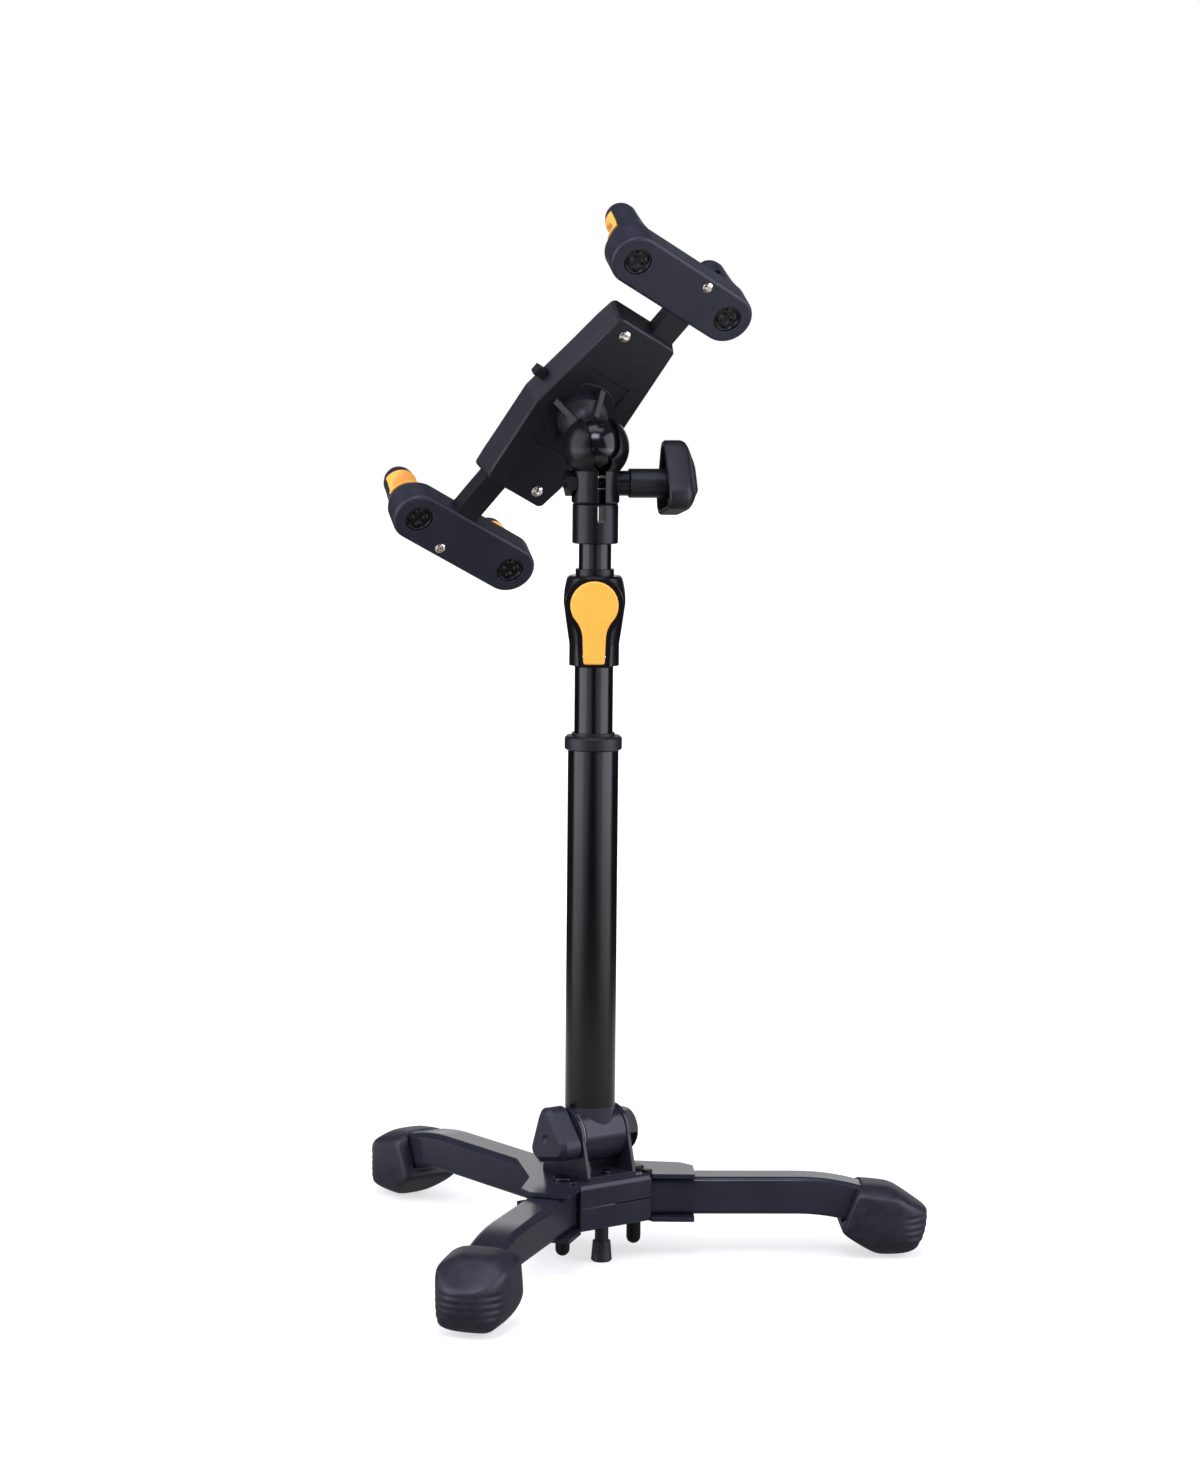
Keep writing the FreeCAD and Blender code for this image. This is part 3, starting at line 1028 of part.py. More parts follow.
def deep_block(x0, x1, y0, y1, depth0, depth1):
    return block(x0, x1, y0, y1, -depth1, -depth0)


def deep_post(radius, depth0, depth1, x=0.0, y=0.0):
    return post(radius, -depth1, -depth0, x, y)


def make_ball_and_stem():
    ball = Part.makeSphere(BALL_RADIUS)
    hole = deep_post(STUD_RADIUS, STUD_END, BALL_RADIUS)
    keep("swivel_ball", ball.cut(hole), HOLDER_FRAME)
    neck_start = BALL_RADIUS + FREE
    flare_arc = Part.Arc(
        vec(STEM_RADIUS, 0, -STEM_FLARE_START),
        vec(STEM_RADIUS + (STEM_FLARE_RADIUS - STEM_RADIUS) * STEM_FLARE_HOLLOW, 0,
            -STEM_FLARE_START - (STEM_FLARE_DEPTH - STEM_FLARE_START) * STEM_FLARE_MIDDLE),
        vec(STEM_FLARE_RADIUS, 0, -STEM_FLARE_DEPTH))
    stud = STUD_RADIUS - RUNNING
    root = STUD_END + RUNNING
    corners = [
        vec(STEM_FLARE_RADIUS, 0, -STEM_FLARE_DEPTH), vec(STEM_FLARE_RADIUS, 0, -BODY_BACK),
        vec(0, 0, -BODY_BACK), vec(0, 0, -root), vec(stud, 0, -root),
        vec(stud, 0, -neck_start), vec(STEM_RADIUS, 0, -neck_start), vec(STEM_RADIUS, 0, -STEM_FLARE_START)]
    edges = [flare_arc.toShape()]
    for start, end in zip(corners, corners[1:]):
        edges.append(Part.LineSegment(start, end).toShape())
    stem = Part.Face(Part.Wire(edges)).revolve(vec(0, 0, 0), UP, 360)
    half = GUSSET_THICKNESS / 2
    corners = [
        vec(0, -half, -GUSSET_START), vec(GUSSET_ROOT, -half, -GUSSET_START),
        vec(GUSSET_REACH, -half, GUSSET_HEEL - BODY_BACK), vec(GUSSET_REACH, -half, -BODY_BACK),
        vec(0, -half, -BODY_BACK)]
    gusset = Part.Face(Part.makePolygon(corners + corners[:1])).extrude(vec(0, GUSSET_THICKNESS, 0))
    gusset = gusset.cut(deep_post(stud, 0, BODY_BACK))
    stem = stem.fuse([turned_by(gusset, 90 * i) for i in range(4)])
    keep("ball_stem", stem.removeSplitter(), HOLDER_FRAME)


def body_outline(grow):
    # six-sided outline, wider at one corner on each side
    return [
        (-BODY_END_HALF_WIDTH - grow, BODY_END + grow), (-BODY_CORNER_SIDE - grow, -BODY_CORNER_RISE),
        (-BODY_END_HALF_WIDTH - grow, -BODY_END - grow), (BODY_END_HALF_WIDTH + grow, -BODY_END - grow),
        (BODY_CORNER_SIDE + grow, BODY_CORNER_RISE), (BODY_END_HALF_WIDTH + grow, BODY_END + grow)]


def body_cavity():
    inner = deep_slab(body_outline(-BODY_SIDE_WALL), BODY_INNER_ROUND, BODY_BACK + BODY_BACK_WALL,
                      BODY_FRONT - BODY_FRONT_WALL)
    far = BODY_END + 2 * FRONT_OVERHANG
    low = BAR_BACK - BAR_SLACK
    high = BAR_FRONT + BAR_SLACK
    left = BAR_INNER_EDGE - BAR_SLACK
    right = BAR_OUTER_EDGE + BAR_SLACK
    upper_slot = deep_block(left, right, 0, far, low, high)
    lower_slot = deep_block(-right, -left, -far, 0, low, high)
    return inner.fuse([upper_slot, lower_slot])


def button_box(grow, start, end):
    half = BUTTON_SIZE / 2 + grow
    return deep_block(-end, -start, BUTTON_RISE - half, BUTTON_RISE + half, BUTTON_DEPTH - half,
                      BUTTON_DEPTH + half)


COVER_SCREWS = [(-COVER_SCREW_SIDE, COVER_SCREW_END), (COVER_SCREW_SIDE, -COVER_SCREW_END)]


def make_covers():
    cavity = body_cavity()
    back = drafted(0, SPLIT_OVERHANG, BODY_BACK, BODY_SPLIT)
    rear_edges = [edge for edge in back.Edges if edge.BoundBox.ZMin > -BODY_BACK - RUNNING]
    back = back.makeChamfer(BODY_CHAMFER, rear_edges).cut(cavity)
    step = deep_block(-STEP_HALF_WIDTH, STEP_HALF_WIDTH, -STEP_HALF_HEIGHT, STEP_HALF_HEIGHT,
                      BODY_BACK, BODY_BACK + STEP_DEPTH)
    step = step.cut(deep_post(GUSSET_REACH + FREE, BODY_BACK, BODY_BACK + STEP_DEPTH))
    back = back.cut(step)
    boss_end = BODY_FRONT - BODY_FRONT_WALL
    pin = deep_post(PINION_PIN_RADIUS, BODY_BACK + BODY_BACK_WALL, boss_end)
    back = back.fuse(pin)
    front = drafted(SPLIT_OVERHANG, FRONT_OVERHANG, BODY_SPLIT, BODY_FRONT)
    front_edges = [edge for edge in front.Edges if edge.BoundBox.ZMax < RUNNING - BODY_FRONT]
    front = front.makeChamfer(BODY_CHAMFER, front_edges).cut(cavity)
    front = front.cut(button_box(FREE, BUTTON_INNER, 2 * BUTTON_INNER))
    for x, y in COVER_SCREWS:
        front_boss = deep_post(COVER_SCREW_RADIUS, BODY_BACK + BODY_BACK_WALL, boss_end, x, y)
        shank = deep_post(COVER_SCREW_RADIUS / 2, BODY_BACK, boss_end, x, y)
        sink = deep_post(COVER_SCREW_RADIUS, BODY_BACK, BODY_BACK + COVER_SCREW_HEAD, x, y)
        back = back.cut(shank).cut(sink)
        front = front.fuse(front_boss).cut(shank)
    keep("back_cover", back, HOLDER_FRAME)
    keep("front_shell", front, HOLDER_FRAME)
    pad_end = BODY_FRONT + PAD_THICKNESS
    pad = deep_slab(body_outline(FRONT_OVERHANG - PAD_INSET), PAD_ROUND, BODY_FRONT, pad_end)
    keep("front_pad", pad, HOLDER_FRAME)


def cross_recess(depth, x, y, length, turn):
    half = CROSS_WIDTH / 2
    first = deep_block(-length / 2, length / 2, -half, half, depth, depth + CROSS_DEPTH)
    second = turned_by(first, 90)
    return moved(turned_by(first.fuse(second), turn), x, y)


def crossed_screw(head_radius, head_depth, head_length, shank_radius, end, x, y):
    head = deep_post(head_radius, head_depth, head_depth + head_length, x, y)
    screw = head.fuse(deep_post(shank_radius, head_depth + head_length, end, x, y))
    return screw.cut(cross_recess(head_depth, x, y, head_radius * CROSS_SHARE, CROSS_TURN + CROSS_STEP * y))


def make_cover_screws():
    end = BODY_FRONT - BODY_FRONT_WALL
    screws = []
    for x, y in COVER_SCREWS:
        screws.append(crossed_screw(COVER_SCREW_RADIUS, BODY_BACK, COVER_SCREW_HEAD, COVER_SCREW_RADIUS / 2,
                                    end, x, y))
    keep("cover_screws", Part.makeCompound(screws), HOLDER_FRAME)


# Rack bars, pinion and arms

def tooth(centre, depth0, depth1):
    # rack tooth that points to -X from the bar's body, at a place along Y
    slope = math.tan(math.radians(PRESSURE_ANGLE))
    tip = TOOTH_HALF_AT_PITCH - TOOTH_TIP * slope
    root = TOOTH_HALF_AT_PITCH + TOOTH_ROOT * slope
    points = [
        (PINION_RADIUS + TOOTH_ROOT, centre - root), (PINION_RADIUS - TOOTH_TIP, centre - tip),
        (PINION_RADIUS - TOOTH_TIP, centre + tip), (PINION_RADIUS + TOOTH_ROOT, centre + root)]
    return plate_of(points, -depth1, -depth0)


def rack_bar(outer_end):
    # bar on the +X side that runs from its inner end to the arm
    bar = deep_block(BAR_INNER_EDGE, BAR_OUTER_EDGE, -BAR_INNER_END, outer_end, BAR_BACK, BAR_FRONT)
    pitch = math.pi * RACK_MODULE
    rack_end = (RACK_FIRST_TOOTH + RACK_TEETH) * pitch
    cut_edge = PINION_RADIUS + TOOTH_ROOT
    bar = bar.cut(deep_block(0, cut_edge, -BAR_INNER_END, rack_end, BAR_BACK, BAR_FRONT))
    teeth = []
    for i in range(RACK_TEETH):
        teeth.append(tooth((RACK_FIRST_TOOTH + i + 0.5) * pitch, BAR_BACK, BAR_FRONT))
    return bar.fuse(teeth).removeSplitter()


def make_pinion():
    outline = []
    root = PINION_RADIUS - TOOTH_ROOT
    tip = PINION_RADIUS + TOOTH_TIP
    widths = [(root, PINION_ROOT_HALF), (PINION_RADIUS, TOOTH_HALF_AT_PITCH), (tip, PINION_TIP_HALF)]
    for i in range(PINION_TEETH):
        angle = 360 / PINION_TEETH * i
        flank = []
        for radius, half in widths:
            flank.append((radius, math.degrees(half / radius)))
        for radius, lean in flank:
            spot = direction(angle - lean, 0) * radius
            outline.append((spot.x, spot.y))
        for radius, lean in reversed(flank):
            spot = direction(angle + lean, 0) * radius
            outline.append((spot.x, spot.y))
    pinion = plate_of(outline, -BAR_FRONT, -BAR_BACK)
    pinion = pinion.cut(deep_post(PINION_PIN_RADIUS + RUNNING, BAR_BACK, BAR_FRONT))
    keep("pinion", pinion, HOLDER_FRAME)


def half_turn(shape):
    return turned_by(shape, 180)


def arm_shell(centre):
    # arm on the +Y side: a rounded bar across, with a pocket for the rack bar
    e = ARM_END_RADIUS
    s = ARM_HALF_SPACING + e
    points = [(-s, centre - e), (s, centre - e), (s, centre + e), (-s, centre + e)]
    arm = deep_slab(points, e - RUNNING, ARM_BACK, ARM_FRONT)
    rear_edges = [edge for edge in arm.Edges if edge.BoundBox.ZMin > -ARM_BACK - RUNNING]
    arm = arm.makeFillet(ARM_EDGE_ROUND, rear_edges)
    pocket = deep_block(BAR_INNER_EDGE, BAR_OUTER_EDGE, 0, centre + BAR_SEAT, BAR_BACK, BAR_FRONT)
    arm = arm.cut(pocket)
    for x in (-ARM_HALF_SPACING, ARM_HALF_SPACING):
        arm = arm.cut(deep_post(POST_SCREW_HEAD_RADIUS, ARM_BACK, ARM_BACK + POST_SCREW_HEAD, x, centre))
        arm = arm.cut(deep_post(POST_SCREW_SHANK_RADIUS, ARM_BACK, ARM_FRONT, x, centre))
    x, y = ARM_SCREW_SIDE, centre + ARM_SCREW_RISE
    return arm.cut(deep_post(ARM_SCREW_RADIUS, ARM_BACK, BAR_BACK, x, y))


def grip_envelope(x, y):
    back = y + GRIP_BACK
    column = deep_post(POST_RADIUS, GRIP_START, GRIP_END, x, y)
    room = deep_block(x - POST_RADIUS, x + POST_RADIUS, y - POST_RADIUS, back, GRIP_START, GRIP_END)
    return column.common(room)


def grip(x, y):
    # soft saddle whose groove takes the tablet's edge
    floor = y - GRIP_FLOOR
    groove = along_x(GRIP_GROOVE_RADIUS, x - POST_RADIUS, x + POST_RADIUS, floor - GRIP_GROOVE_RADIUS,
                     -GRIP_GROOVE_DEPTH)
    return grip_envelope(x, y).cut(groove)


def arm_post(x, y, screw_y):
    column = deep_post(POST_RADIUS, ARM_FRONT, POST_SHOULDER, x, y)
    dome = Part.makeSphere(POST_RADIUS, vec(x, y, -POST_SHOULDER))
    foot_length = POST_FOOT_END - ARM_FRONT
    foot_end = Part.makeCone(POST_FOOT_TOP_RADIUS, ARM_END_RADIUS - POST_FOOT_INSET, foot_length,
                             vec(x, screw_y, -POST_FOOT_END))
    column = column.fuse([dome, foot_end]).removeSplitter().cut(grip_envelope(x, y))
    return column.cut(deep_post(POST_SCREW_SHANK_RADIUS, ARM_FRONT, GRIP_START - POST_SCREW_ROOM, x, screw_y))


def make_arm(name, centre, turn):
    shell = arm_shell(centre)
    bar = rack_bar(centre + BAR_SEAT)
    screws = []
    for label, x in (("left", -ARM_HALF_SPACING), ("right", ARM_HALF_SPACING)):
        y = centre + POST_OUT
        end = GRIP_START - POST_SCREW_ROOM
        keep("post_" + name + "_" + label, turn(arm_post(x, y, centre)), HOLDER_FRAME)
        keep("grip_" + name + "_" + label, turn(grip(x, y)), HOLDER_FRAME)
        screws.append(turn(crossed_screw(POST_SCREW_HEAD_RADIUS, ARM_BACK, POST_SCREW_HEAD,
                                         POST_SCREW_SHANK_RADIUS, end, x, centre)))
    keep("arm_" + name, turn(shell), HOLDER_FRAME)
    keep("bar_" + name, turn(bar), HOLDER_FRAME)
    keep("post_screws_" + name, Part.makeCompound(screws), HOLDER_FRAME)
    x, y = ARM_SCREW_SIDE, centre + ARM_SCREW_RISE
    small = crossed_screw(ARM_SCREW_RADIUS, ARM_BACK - ARM_SCREW_PROUD, ARM_SCREW_HEAD, ARM_SCREW_RADIUS / 2,
                          BAR_BACK, x, y)
    keep("arm_screw_" + name, turn(small), HOLDER_FRAME)


def same_way(shape):
    return shape


def make_release_button():
    outer = button_box(0, BUTTON_INNER - BUTTON_TRAVEL, BUTTON_OUT)
    half = BUTTON_SIZE / 2
    flange_half = half + BUTTON_FLANGE
    flange = deep_block(FREE - BUTTON_INNER, BUTTON_TRAVEL - BUTTON_INNER, BUTTON_RISE - flange_half,
                        BUTTON_RISE + flange_half, BUTTON_DEPTH - half, BUTTON_DEPTH + half)
    keep("release_button", outer.fuse(flange), HOLDER_FRAME)


make_plates()
make_plate_screws()
make_pivot_bolts()
make_leg_washers()
make_bumper()
make_legs()
make_bracket()
make_knuckle()
make_tilt_fasteners()
make_tilt_knob()
make_mast_tubes()
make_rod()
make_clutch()
make_clutch_inside()
make_clamp_base()
make_clamp_halves()
make_clamp_fasteners()
make_clamp_knob()
make_ball_and_stem()
make_covers()
make_cover_screws()
make_pinion()
make_arm("upper", UPPER_ARM, same_way)
make_arm("lower", LOWER_ARM, half_turn)
make_release_button()

os.makedirs("parts", exist_ok=True)
for node, piece in PARTS.items():
    piece.exportStep("parts/" + node + ".step")
    print(node, piece.isValid(), len(piece.Solids), round(piece.Volume, 1))
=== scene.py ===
import json
import math

import bmesh
import bpy
from mathutils import Matrix, Vector

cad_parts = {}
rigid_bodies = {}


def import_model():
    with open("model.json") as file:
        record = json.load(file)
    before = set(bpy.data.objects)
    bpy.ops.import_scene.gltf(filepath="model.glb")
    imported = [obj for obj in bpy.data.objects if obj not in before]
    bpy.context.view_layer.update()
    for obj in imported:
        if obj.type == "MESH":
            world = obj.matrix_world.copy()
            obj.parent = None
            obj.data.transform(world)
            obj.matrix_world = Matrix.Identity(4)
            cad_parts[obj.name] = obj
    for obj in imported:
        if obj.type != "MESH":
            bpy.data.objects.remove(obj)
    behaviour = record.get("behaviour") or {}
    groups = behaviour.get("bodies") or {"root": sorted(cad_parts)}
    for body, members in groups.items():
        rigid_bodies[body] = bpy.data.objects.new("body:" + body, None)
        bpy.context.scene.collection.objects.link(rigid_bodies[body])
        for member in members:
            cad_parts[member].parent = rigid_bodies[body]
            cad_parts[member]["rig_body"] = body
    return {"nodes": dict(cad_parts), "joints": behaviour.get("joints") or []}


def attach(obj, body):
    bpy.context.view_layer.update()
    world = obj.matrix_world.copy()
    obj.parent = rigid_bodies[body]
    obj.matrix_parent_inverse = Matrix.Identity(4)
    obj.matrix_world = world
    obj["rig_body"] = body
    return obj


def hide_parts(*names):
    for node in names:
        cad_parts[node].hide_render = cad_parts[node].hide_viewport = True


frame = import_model()

bl_info = {
    "name": "Desktop tablet stand",
    "version": (1, 0, 0),
    "blender": (4, 5, 0),
    "location": "3D view, sidebar, Stand",
    "description": "Builds the finishes and the modelled pieces of a desktop tablet stand on its frame",
    "category": "Object",
}

MM = 0.001
UP = Vector((0, 0, 1))


# Frames of the stand, read from its joints

JOINTS = {joint["name"]: joint for joint in frame["joints"]}


def joint_point(name):
    return Vector(JOINTS[name]["pos_m"])


def joint_axis(name):
    return Vector(JOINTS[name]["axis"]).normalized()


def axes_at(origin, x_axis, y_axis, z_axis):
    turn = Matrix((x_axis, y_axis, z_axis)).transposed().to_4x4()
    return Matrix.Translation(origin) @ turn


TILT_AXIS = joint_axis("mast_tilt")
TILT_POINT = joint_point("mast_tilt")
AHEAD = TILT_AXIS.cross(UP)
MAST_FOOT = Vector((TILT_POINT.x, TILT_POINT.y, 0))
HUB = axes_at(MAST_FOOT, AHEAD, TILT_AXIS, UP)
CLAMP_X = joint_axis("clamp_knob_turn")
CLAMP = axes_at(MAST_FOOT, CLAMP_X, UP.cross(CLAMP_X), UP)
BALL = joint_point("ball_pitch")
HOLDER = axes_at(
    BALL, joint_axis("release_button_press"), joint_axis("arm_upper_slide"), joint_axis("holder_turn"))


# Materials

def linear(code):
    # sRGB hex colour as linear values
    channels = []
    for i in (0, 2, 4):
        c = int(code[i:i + 2], 16) / 255
        channels.append(c / 12.92 if c <= 0.04045 else ((c + 0.055) / 1.055) ** 2.4)
    return (*channels, 1.0)


def add_node(material, kind, options=None, values=None, links=None):
    """Adds a node with its options, the values of its sockets and the links into it."""
    node = material.node_tree.nodes.new(kind)
    for name, value in (options or {}).items():
        setattr(node, name, value)
    for socket, value in (values or {}).items():
        node.inputs[socket].default_value = value
    for socket, source in (links or {}).items():
        material.node_tree.links.new(source, node.inputs[socket])
    return node


def surface(name, shader):
    """Material with object coordinates and one principled shader, whose own sockets hold what is constant."""
    material = bpy.data.materials.new(name)
    material.use_nodes = True
    material.node_tree.nodes.clear()
    place = add_node(material, "ShaderNodeTexCoord")
    principled = add_node(material, "ShaderNodeBsdfPrincipled", values=shader)
    add_node(material, "ShaderNodeOutputMaterial", links={"Surface": principled.outputs["BSDF"]})
    return material, place.outputs["Object"], principled


def join(material, source, target):
    material.node_tree.links.new(source, target)


def grain(material, place, size_mm, detail=2.0, roughness=0.5):
    # noise from 0 to 1 with spots of a size
    noise = add_node(
        material, "ShaderNodeTexNoise",
        values={"Scale": 1 / (size_mm * MM), "Detail": detail, "Roughness": roughness},
        links={"Vector": place})
    return noise.outputs["Fac"]


def two_tone(material, fac, low, high):
    # colour that goes from low to high with a noise, most of it near one of the two
    ramp = add_node(material, "ShaderNodeValToRGB", links={"Fac": fac})
    for element, position, colour in zip(ramp.color_ramp.elements, (0.35, 0.65), (low, high)):
        element.position = position
        element.color = linear(colour)
    return ramp.outputs["Color"]


def spread(material, fac, low, high):
    # number that goes from low to high with a noise
    span = add_node(
        material, "ShaderNodeMapRange", values={"To Min": low, "To Max": high}, links={"Value": fac})
    return span.outputs["Result"]


def relief(material, height, depth_mm, edge_mm, strength):
    # fine bumps on faces whose edges look rounded
    rounded = add_node(material, "ShaderNodeBevel", options={"samples": 4}, values={"Radius": edge_mm * MM})
    bump = add_node(
        material, "ShaderNodeBump", values={"Distance": depth_mm * MM, "Strength": strength},
        links={"Height": height, "Normal": rounded.outputs["Normal"]})
    return bump.outputs["Normal"]


def lighter(colour, lift=5):
    # sRGB hex colour with each channel raised
    return "".join("%02x" % min(int(colour[i:i + 2], 16) + lift, 255) for i in (0, 2, 4))


def powder_coated_steel(name, colour):
    # Epoxy coat baked on steel: dark and smooth, so a round tube shows two grey bands and a dark middle
    material, place, shader = surface(name, {"IOR": 1.5, "Specular IOR Level": 0.38})
    peel = grain(material, place, 1.8, 3.0)
    cloud = grain(material, place, 30.0)
    join(material, two_tone(material, cloud, colour, lighter(colour, 6)), shader.inputs["Base Color"])
    join(material, spread(material, peel, 0.17, 0.23), shader.inputs["Roughness"])
    join(material, relief(material, peel, 0.012, 0.35, 0.4), shader.inputs["Normal"])
    return material


def spark_textured_abs(name, colour):
    # ABS moulded in a spark-eroded tool: a fine matt grain that scatters light and hides finger marks
    material, place, shader = surface(name, {"IOR": 1.53, "Specular IOR Level": 0.4})
    fine = grain(material, place, 0.45, 4.0, 0.6)
    broad = grain(material, place, 9.0)
    join(material, two_tone(material, broad, colour, lighter(colour)), shader.inputs["Base Color"])
    join(material, spread(material, fine, 0.4, 0.5), shader.inputs["Roughness"])
    join(material, relief(material, fine, 0.04, 0.4, 0.5), shader.inputs["Normal"])
    return material


def glass_filled_nylon(name, colour):
    # Glass-filled nylon from a polished tool: dense glossy black, for what carries load
    material, place, shader = surface(name, {"IOR": 1.53, "Specular IOR Level": 0.26})
    fibres = grain(material, place, 0.6, 4.0)
    flow = grain(material, place, 14.0)
    join(material, two_tone(material, flow, colour, "0e0e13"), shader.inputs["Base Color"])
    join(material, spread(material, fibres, 0.24, 0.33), shader.inputs["Roughness"])
    join(material, relief(material, fibres, 0.02, 0.4, 0.4), shader.inputs["Normal"])
    return material


def polished_acetal(name, colour):
    # Acetal turned and polished: a black ball with soft-edged bright highlights
    material, place, shader = surface(name, {"IOR": 1.48})
    turned = grain(material, place, 4.0)
    join(material, two_tone(material, turned, colour, "0d0d11"), shader.inputs["Base Color"])
    join(material, spread(material, turned, 0.15, 0.2), shader.inputs["Roughness"])
    return material


def moulded_rubber(name, colour):
    # Natural rubber pressed in a mould: dark with a soft bloom that lights up at the edges
    material, place, shader = surface(name, {"IOR": 1.52})
    bloom = grain(material, place, 5.0, 4.0)
    skin = grain(material, place, 0.7, 4.0)
    join(material, two_tone(material, bloom, colour, "24242f"), shader.inputs["Base Color"])
    join(material, spread(material, bloom, 0.38, 0.5), shader.inputs["Roughness"])
    join(material, relief(material, skin, 0.04, 0.5, 0.5), shader.inputs["Normal"])
    return material


def soft_yellow_rubber(name, colour):
    # Thermoplastic elastomer over the posts: soft, warm yellow, slightly translucent at its thin lips
    material, place, shader = surface(
        name, {"IOR": 1.5, "Subsurface Weight": 0.08, "Subsurface Scale": 2 * MM})
    skin = grain(material, place, 0.8, 4.0)
    tone = grain(material, place, 12.0)
    join(material, two_tone(material, tone, colour, "fcba55"), shader.inputs["Base Color"])
    join(material, spread(material, skin, 0.5, 0.65), shader.inputs["Roughness"])
    join(material, relief(material, skin, 0.05, 0.3, 0.5), shader.inputs["Normal"])
    return material


def satin_yellow_abs(name, colour):
    # ABS moulded in a satin tool: an even warm yellow with a soft broad highlight
    material, place, shader = surface(name, {"IOR": 1.53})
    fine = grain(material, place, 0.5, 3.0)
    tone = grain(material, place, 16.0)
    join(material, two_tone(material, tone, colour, "fcb94a"), shader.inputs["Base Color"])
    join(material, spread(material, fine, 0.36, 0.48), shader.inputs["Roughness"])
    join(material, relief(material, fine, 0.02, 0.5, 0.4), shader.inputs["Normal"])
    return material


def nickel_plated_steel(name, colour):
    # Bright nickel on a domed screw: a warm grey mirror broken by turning marks
    material, place, shader = surface(name, {"Metallic": 1.0})
    marks = grain(material, place, 0.5, 3.0)
    join(material, two_tone(material, marks, colour, "f2e9e2"), shader.inputs["Base Color"])
    join(material, spread(material, marks, 0.14, 0.24), shader.inputs["Roughness"])
    join(material, relief(material, marks, 0.01, 0.15, 0.2), shader.inputs["Normal"])
    return material


def black_oxide_steel(name, colour):
    # Steel blackened in a hot oxide bath and oiled: very dark, with narrow grey highlights
    material, place, shader = surface(name, {"Metallic": 0.3, "IOR": 1.5})
    stain = grain(material, place, 1.2, 3.0)
    join(material, two_tone(material, stain, colour, "101014"), shader.inputs["Base Color"])
    join(material, spread(material, stain, 0.3, 0.36), shader.inputs["Roughness"])
    join(material, relief(material, stain, 0.01, 0.25, 0.2), shader.inputs["Normal"])
    return material


def natural_nylon(name, colour):
    # Unfilled nylon washer: milky off-white with a waxy surface
    material, place, shader = surface(
        name, {"IOR": 1.53, "Subsurface Weight": 0.1, "Subsurface Scale": 1 * MM})
    tone = grain(material, place, 3.0)
    join(material, two_tone(material, tone, colour, "dcd8cc"), shader.inputs["Base Color"])
    join(material, spread(material, tone, 0.4, 0.5), shader.inputs["Roughness"])
    return material


MATERIALS = {}


def hex_of(colour):
    # linear colour as an sRGB hex colour
    codes = []
    for c in colour:
        s = c * 12.92 if c <= 0.0031308 else 1.055 * c ** (1 / 2.4) - 0.055
        codes.append("%02x" % round(min(max(s, 0), 1) * 255))
    return "".join(codes)


def finish_of(slot):
    """Material of a slot, made once from the colours in the panel."""
    if slot not in MATERIALS:
        colours = bpy.context.scene.stand_colours
        makers = {
            "black_coated_steel": (powder_coated_steel, "steel_powder_coated_black", colours.steel),
            "base_steel": (powder_coated_steel, "steel_powder_coated_charcoal", colours.base_steel),
            "black_plastic": (spark_textured_abs, "abs_spark_textured_black", colours.plastic),
            # the same black textured ABS as the body, made lighter: painted light on the arms, posts and tilt
            # knob
            "black_plastic_painted_lighter": (spark_textured_abs, "abs_spark_textured_black_painted_lighter", colours.arm),
            "load_plastic": (glass_filled_nylon, "nylon_glass_filled_black", colours.load_plastic),
            "gloss_black_plastic": (polished_acetal, "acetal_polished_black", colours.ball),
            "black_rubber": (moulded_rubber, "rubber_moulded_black", colours.rubber),
            "yellow_rubber": (soft_yellow_rubber, "elastomer_soft_yellow", colours.grip),
            "yellow_plastic": (satin_yellow_abs, "abs_satin_yellow", colours.lever),
            "bright_steel": (nickel_plated_steel, "steel_nickel_plated", colours.nickel),
            "blackened_steel": (black_oxide_steel, "steel_black_oxide", colours.oxide),
            "nylon": (natural_nylon, "nylon_natural", colours.nylon),
        }
        maker, name, colour = makers[slot]
        MATERIALS[slot] = maker(name, hex_of(colour))
    return MATERIALS[slot]


def colour_property(name, description, code):
    return bpy.props.FloatVectorProperty(
        name=name, description=description, default=linear(code)[:3], subtype="COLOR", size=3, min=0.0,
        max=1.0)


class StandColours(bpy.types.PropertyGroup):
    steel: colour_property("Mast coat", "Baked coat of the round tubes", "050509")
    base_steel: colour_property("Base coat", "Baked coat of the legs, the plates and the bracket", "22222c")
    plastic: colour_property("Plastic", "Textured plastic of the body and the clamp knob", "0d0d15")
    # painted light: a lighter copy of the body's plastic colour, for the arms, posts and tilt knob
    arm: colour_property("Arms", "Textured plastic of the arms, the posts and the tilt knob", "1e1e2b")
    load_plastic: colour_property("Clamp plastic", "Filled plastic of the clutch and the clamp", "08080c")
    ball: colour_property("Ball", "Polished ball", "08080b")
    rubber: colour_property("Rubber", "Feet, bumper and pad", "191923")
    grip: colour_property("Grips", "Soft grips on the posts", "fdb04a")
    lever: colour_property("Lever", "Quick lever", "f9ae3a")
    nickel: colour_property("Nickel", "Bright screws", "d6cec6")
    oxide: colour_property("Oxide", "Blackened bolts and nuts", "09090c")
    nylon: colour_property("Nylon", "Washers", "cbc7ba")


# Mesh helpers

def shade(mesh, sharp=32.0):
    """Smooth shading that stops at edges sharper than an angle in degrees."""
    work = bmesh.new()
    work.from_mesh(mesh)
    bmesh.ops.recalc_face_normals(work, faces=work.faces)
    for face in work.faces:
        face.smooth = True
    for edge in work.edges:
        if len(edge.link_faces) == 2:
            edge.smooth = edge.calc_face_angle() < math.radians(sharp)
    work.to_mesh(mesh)
    work.free()


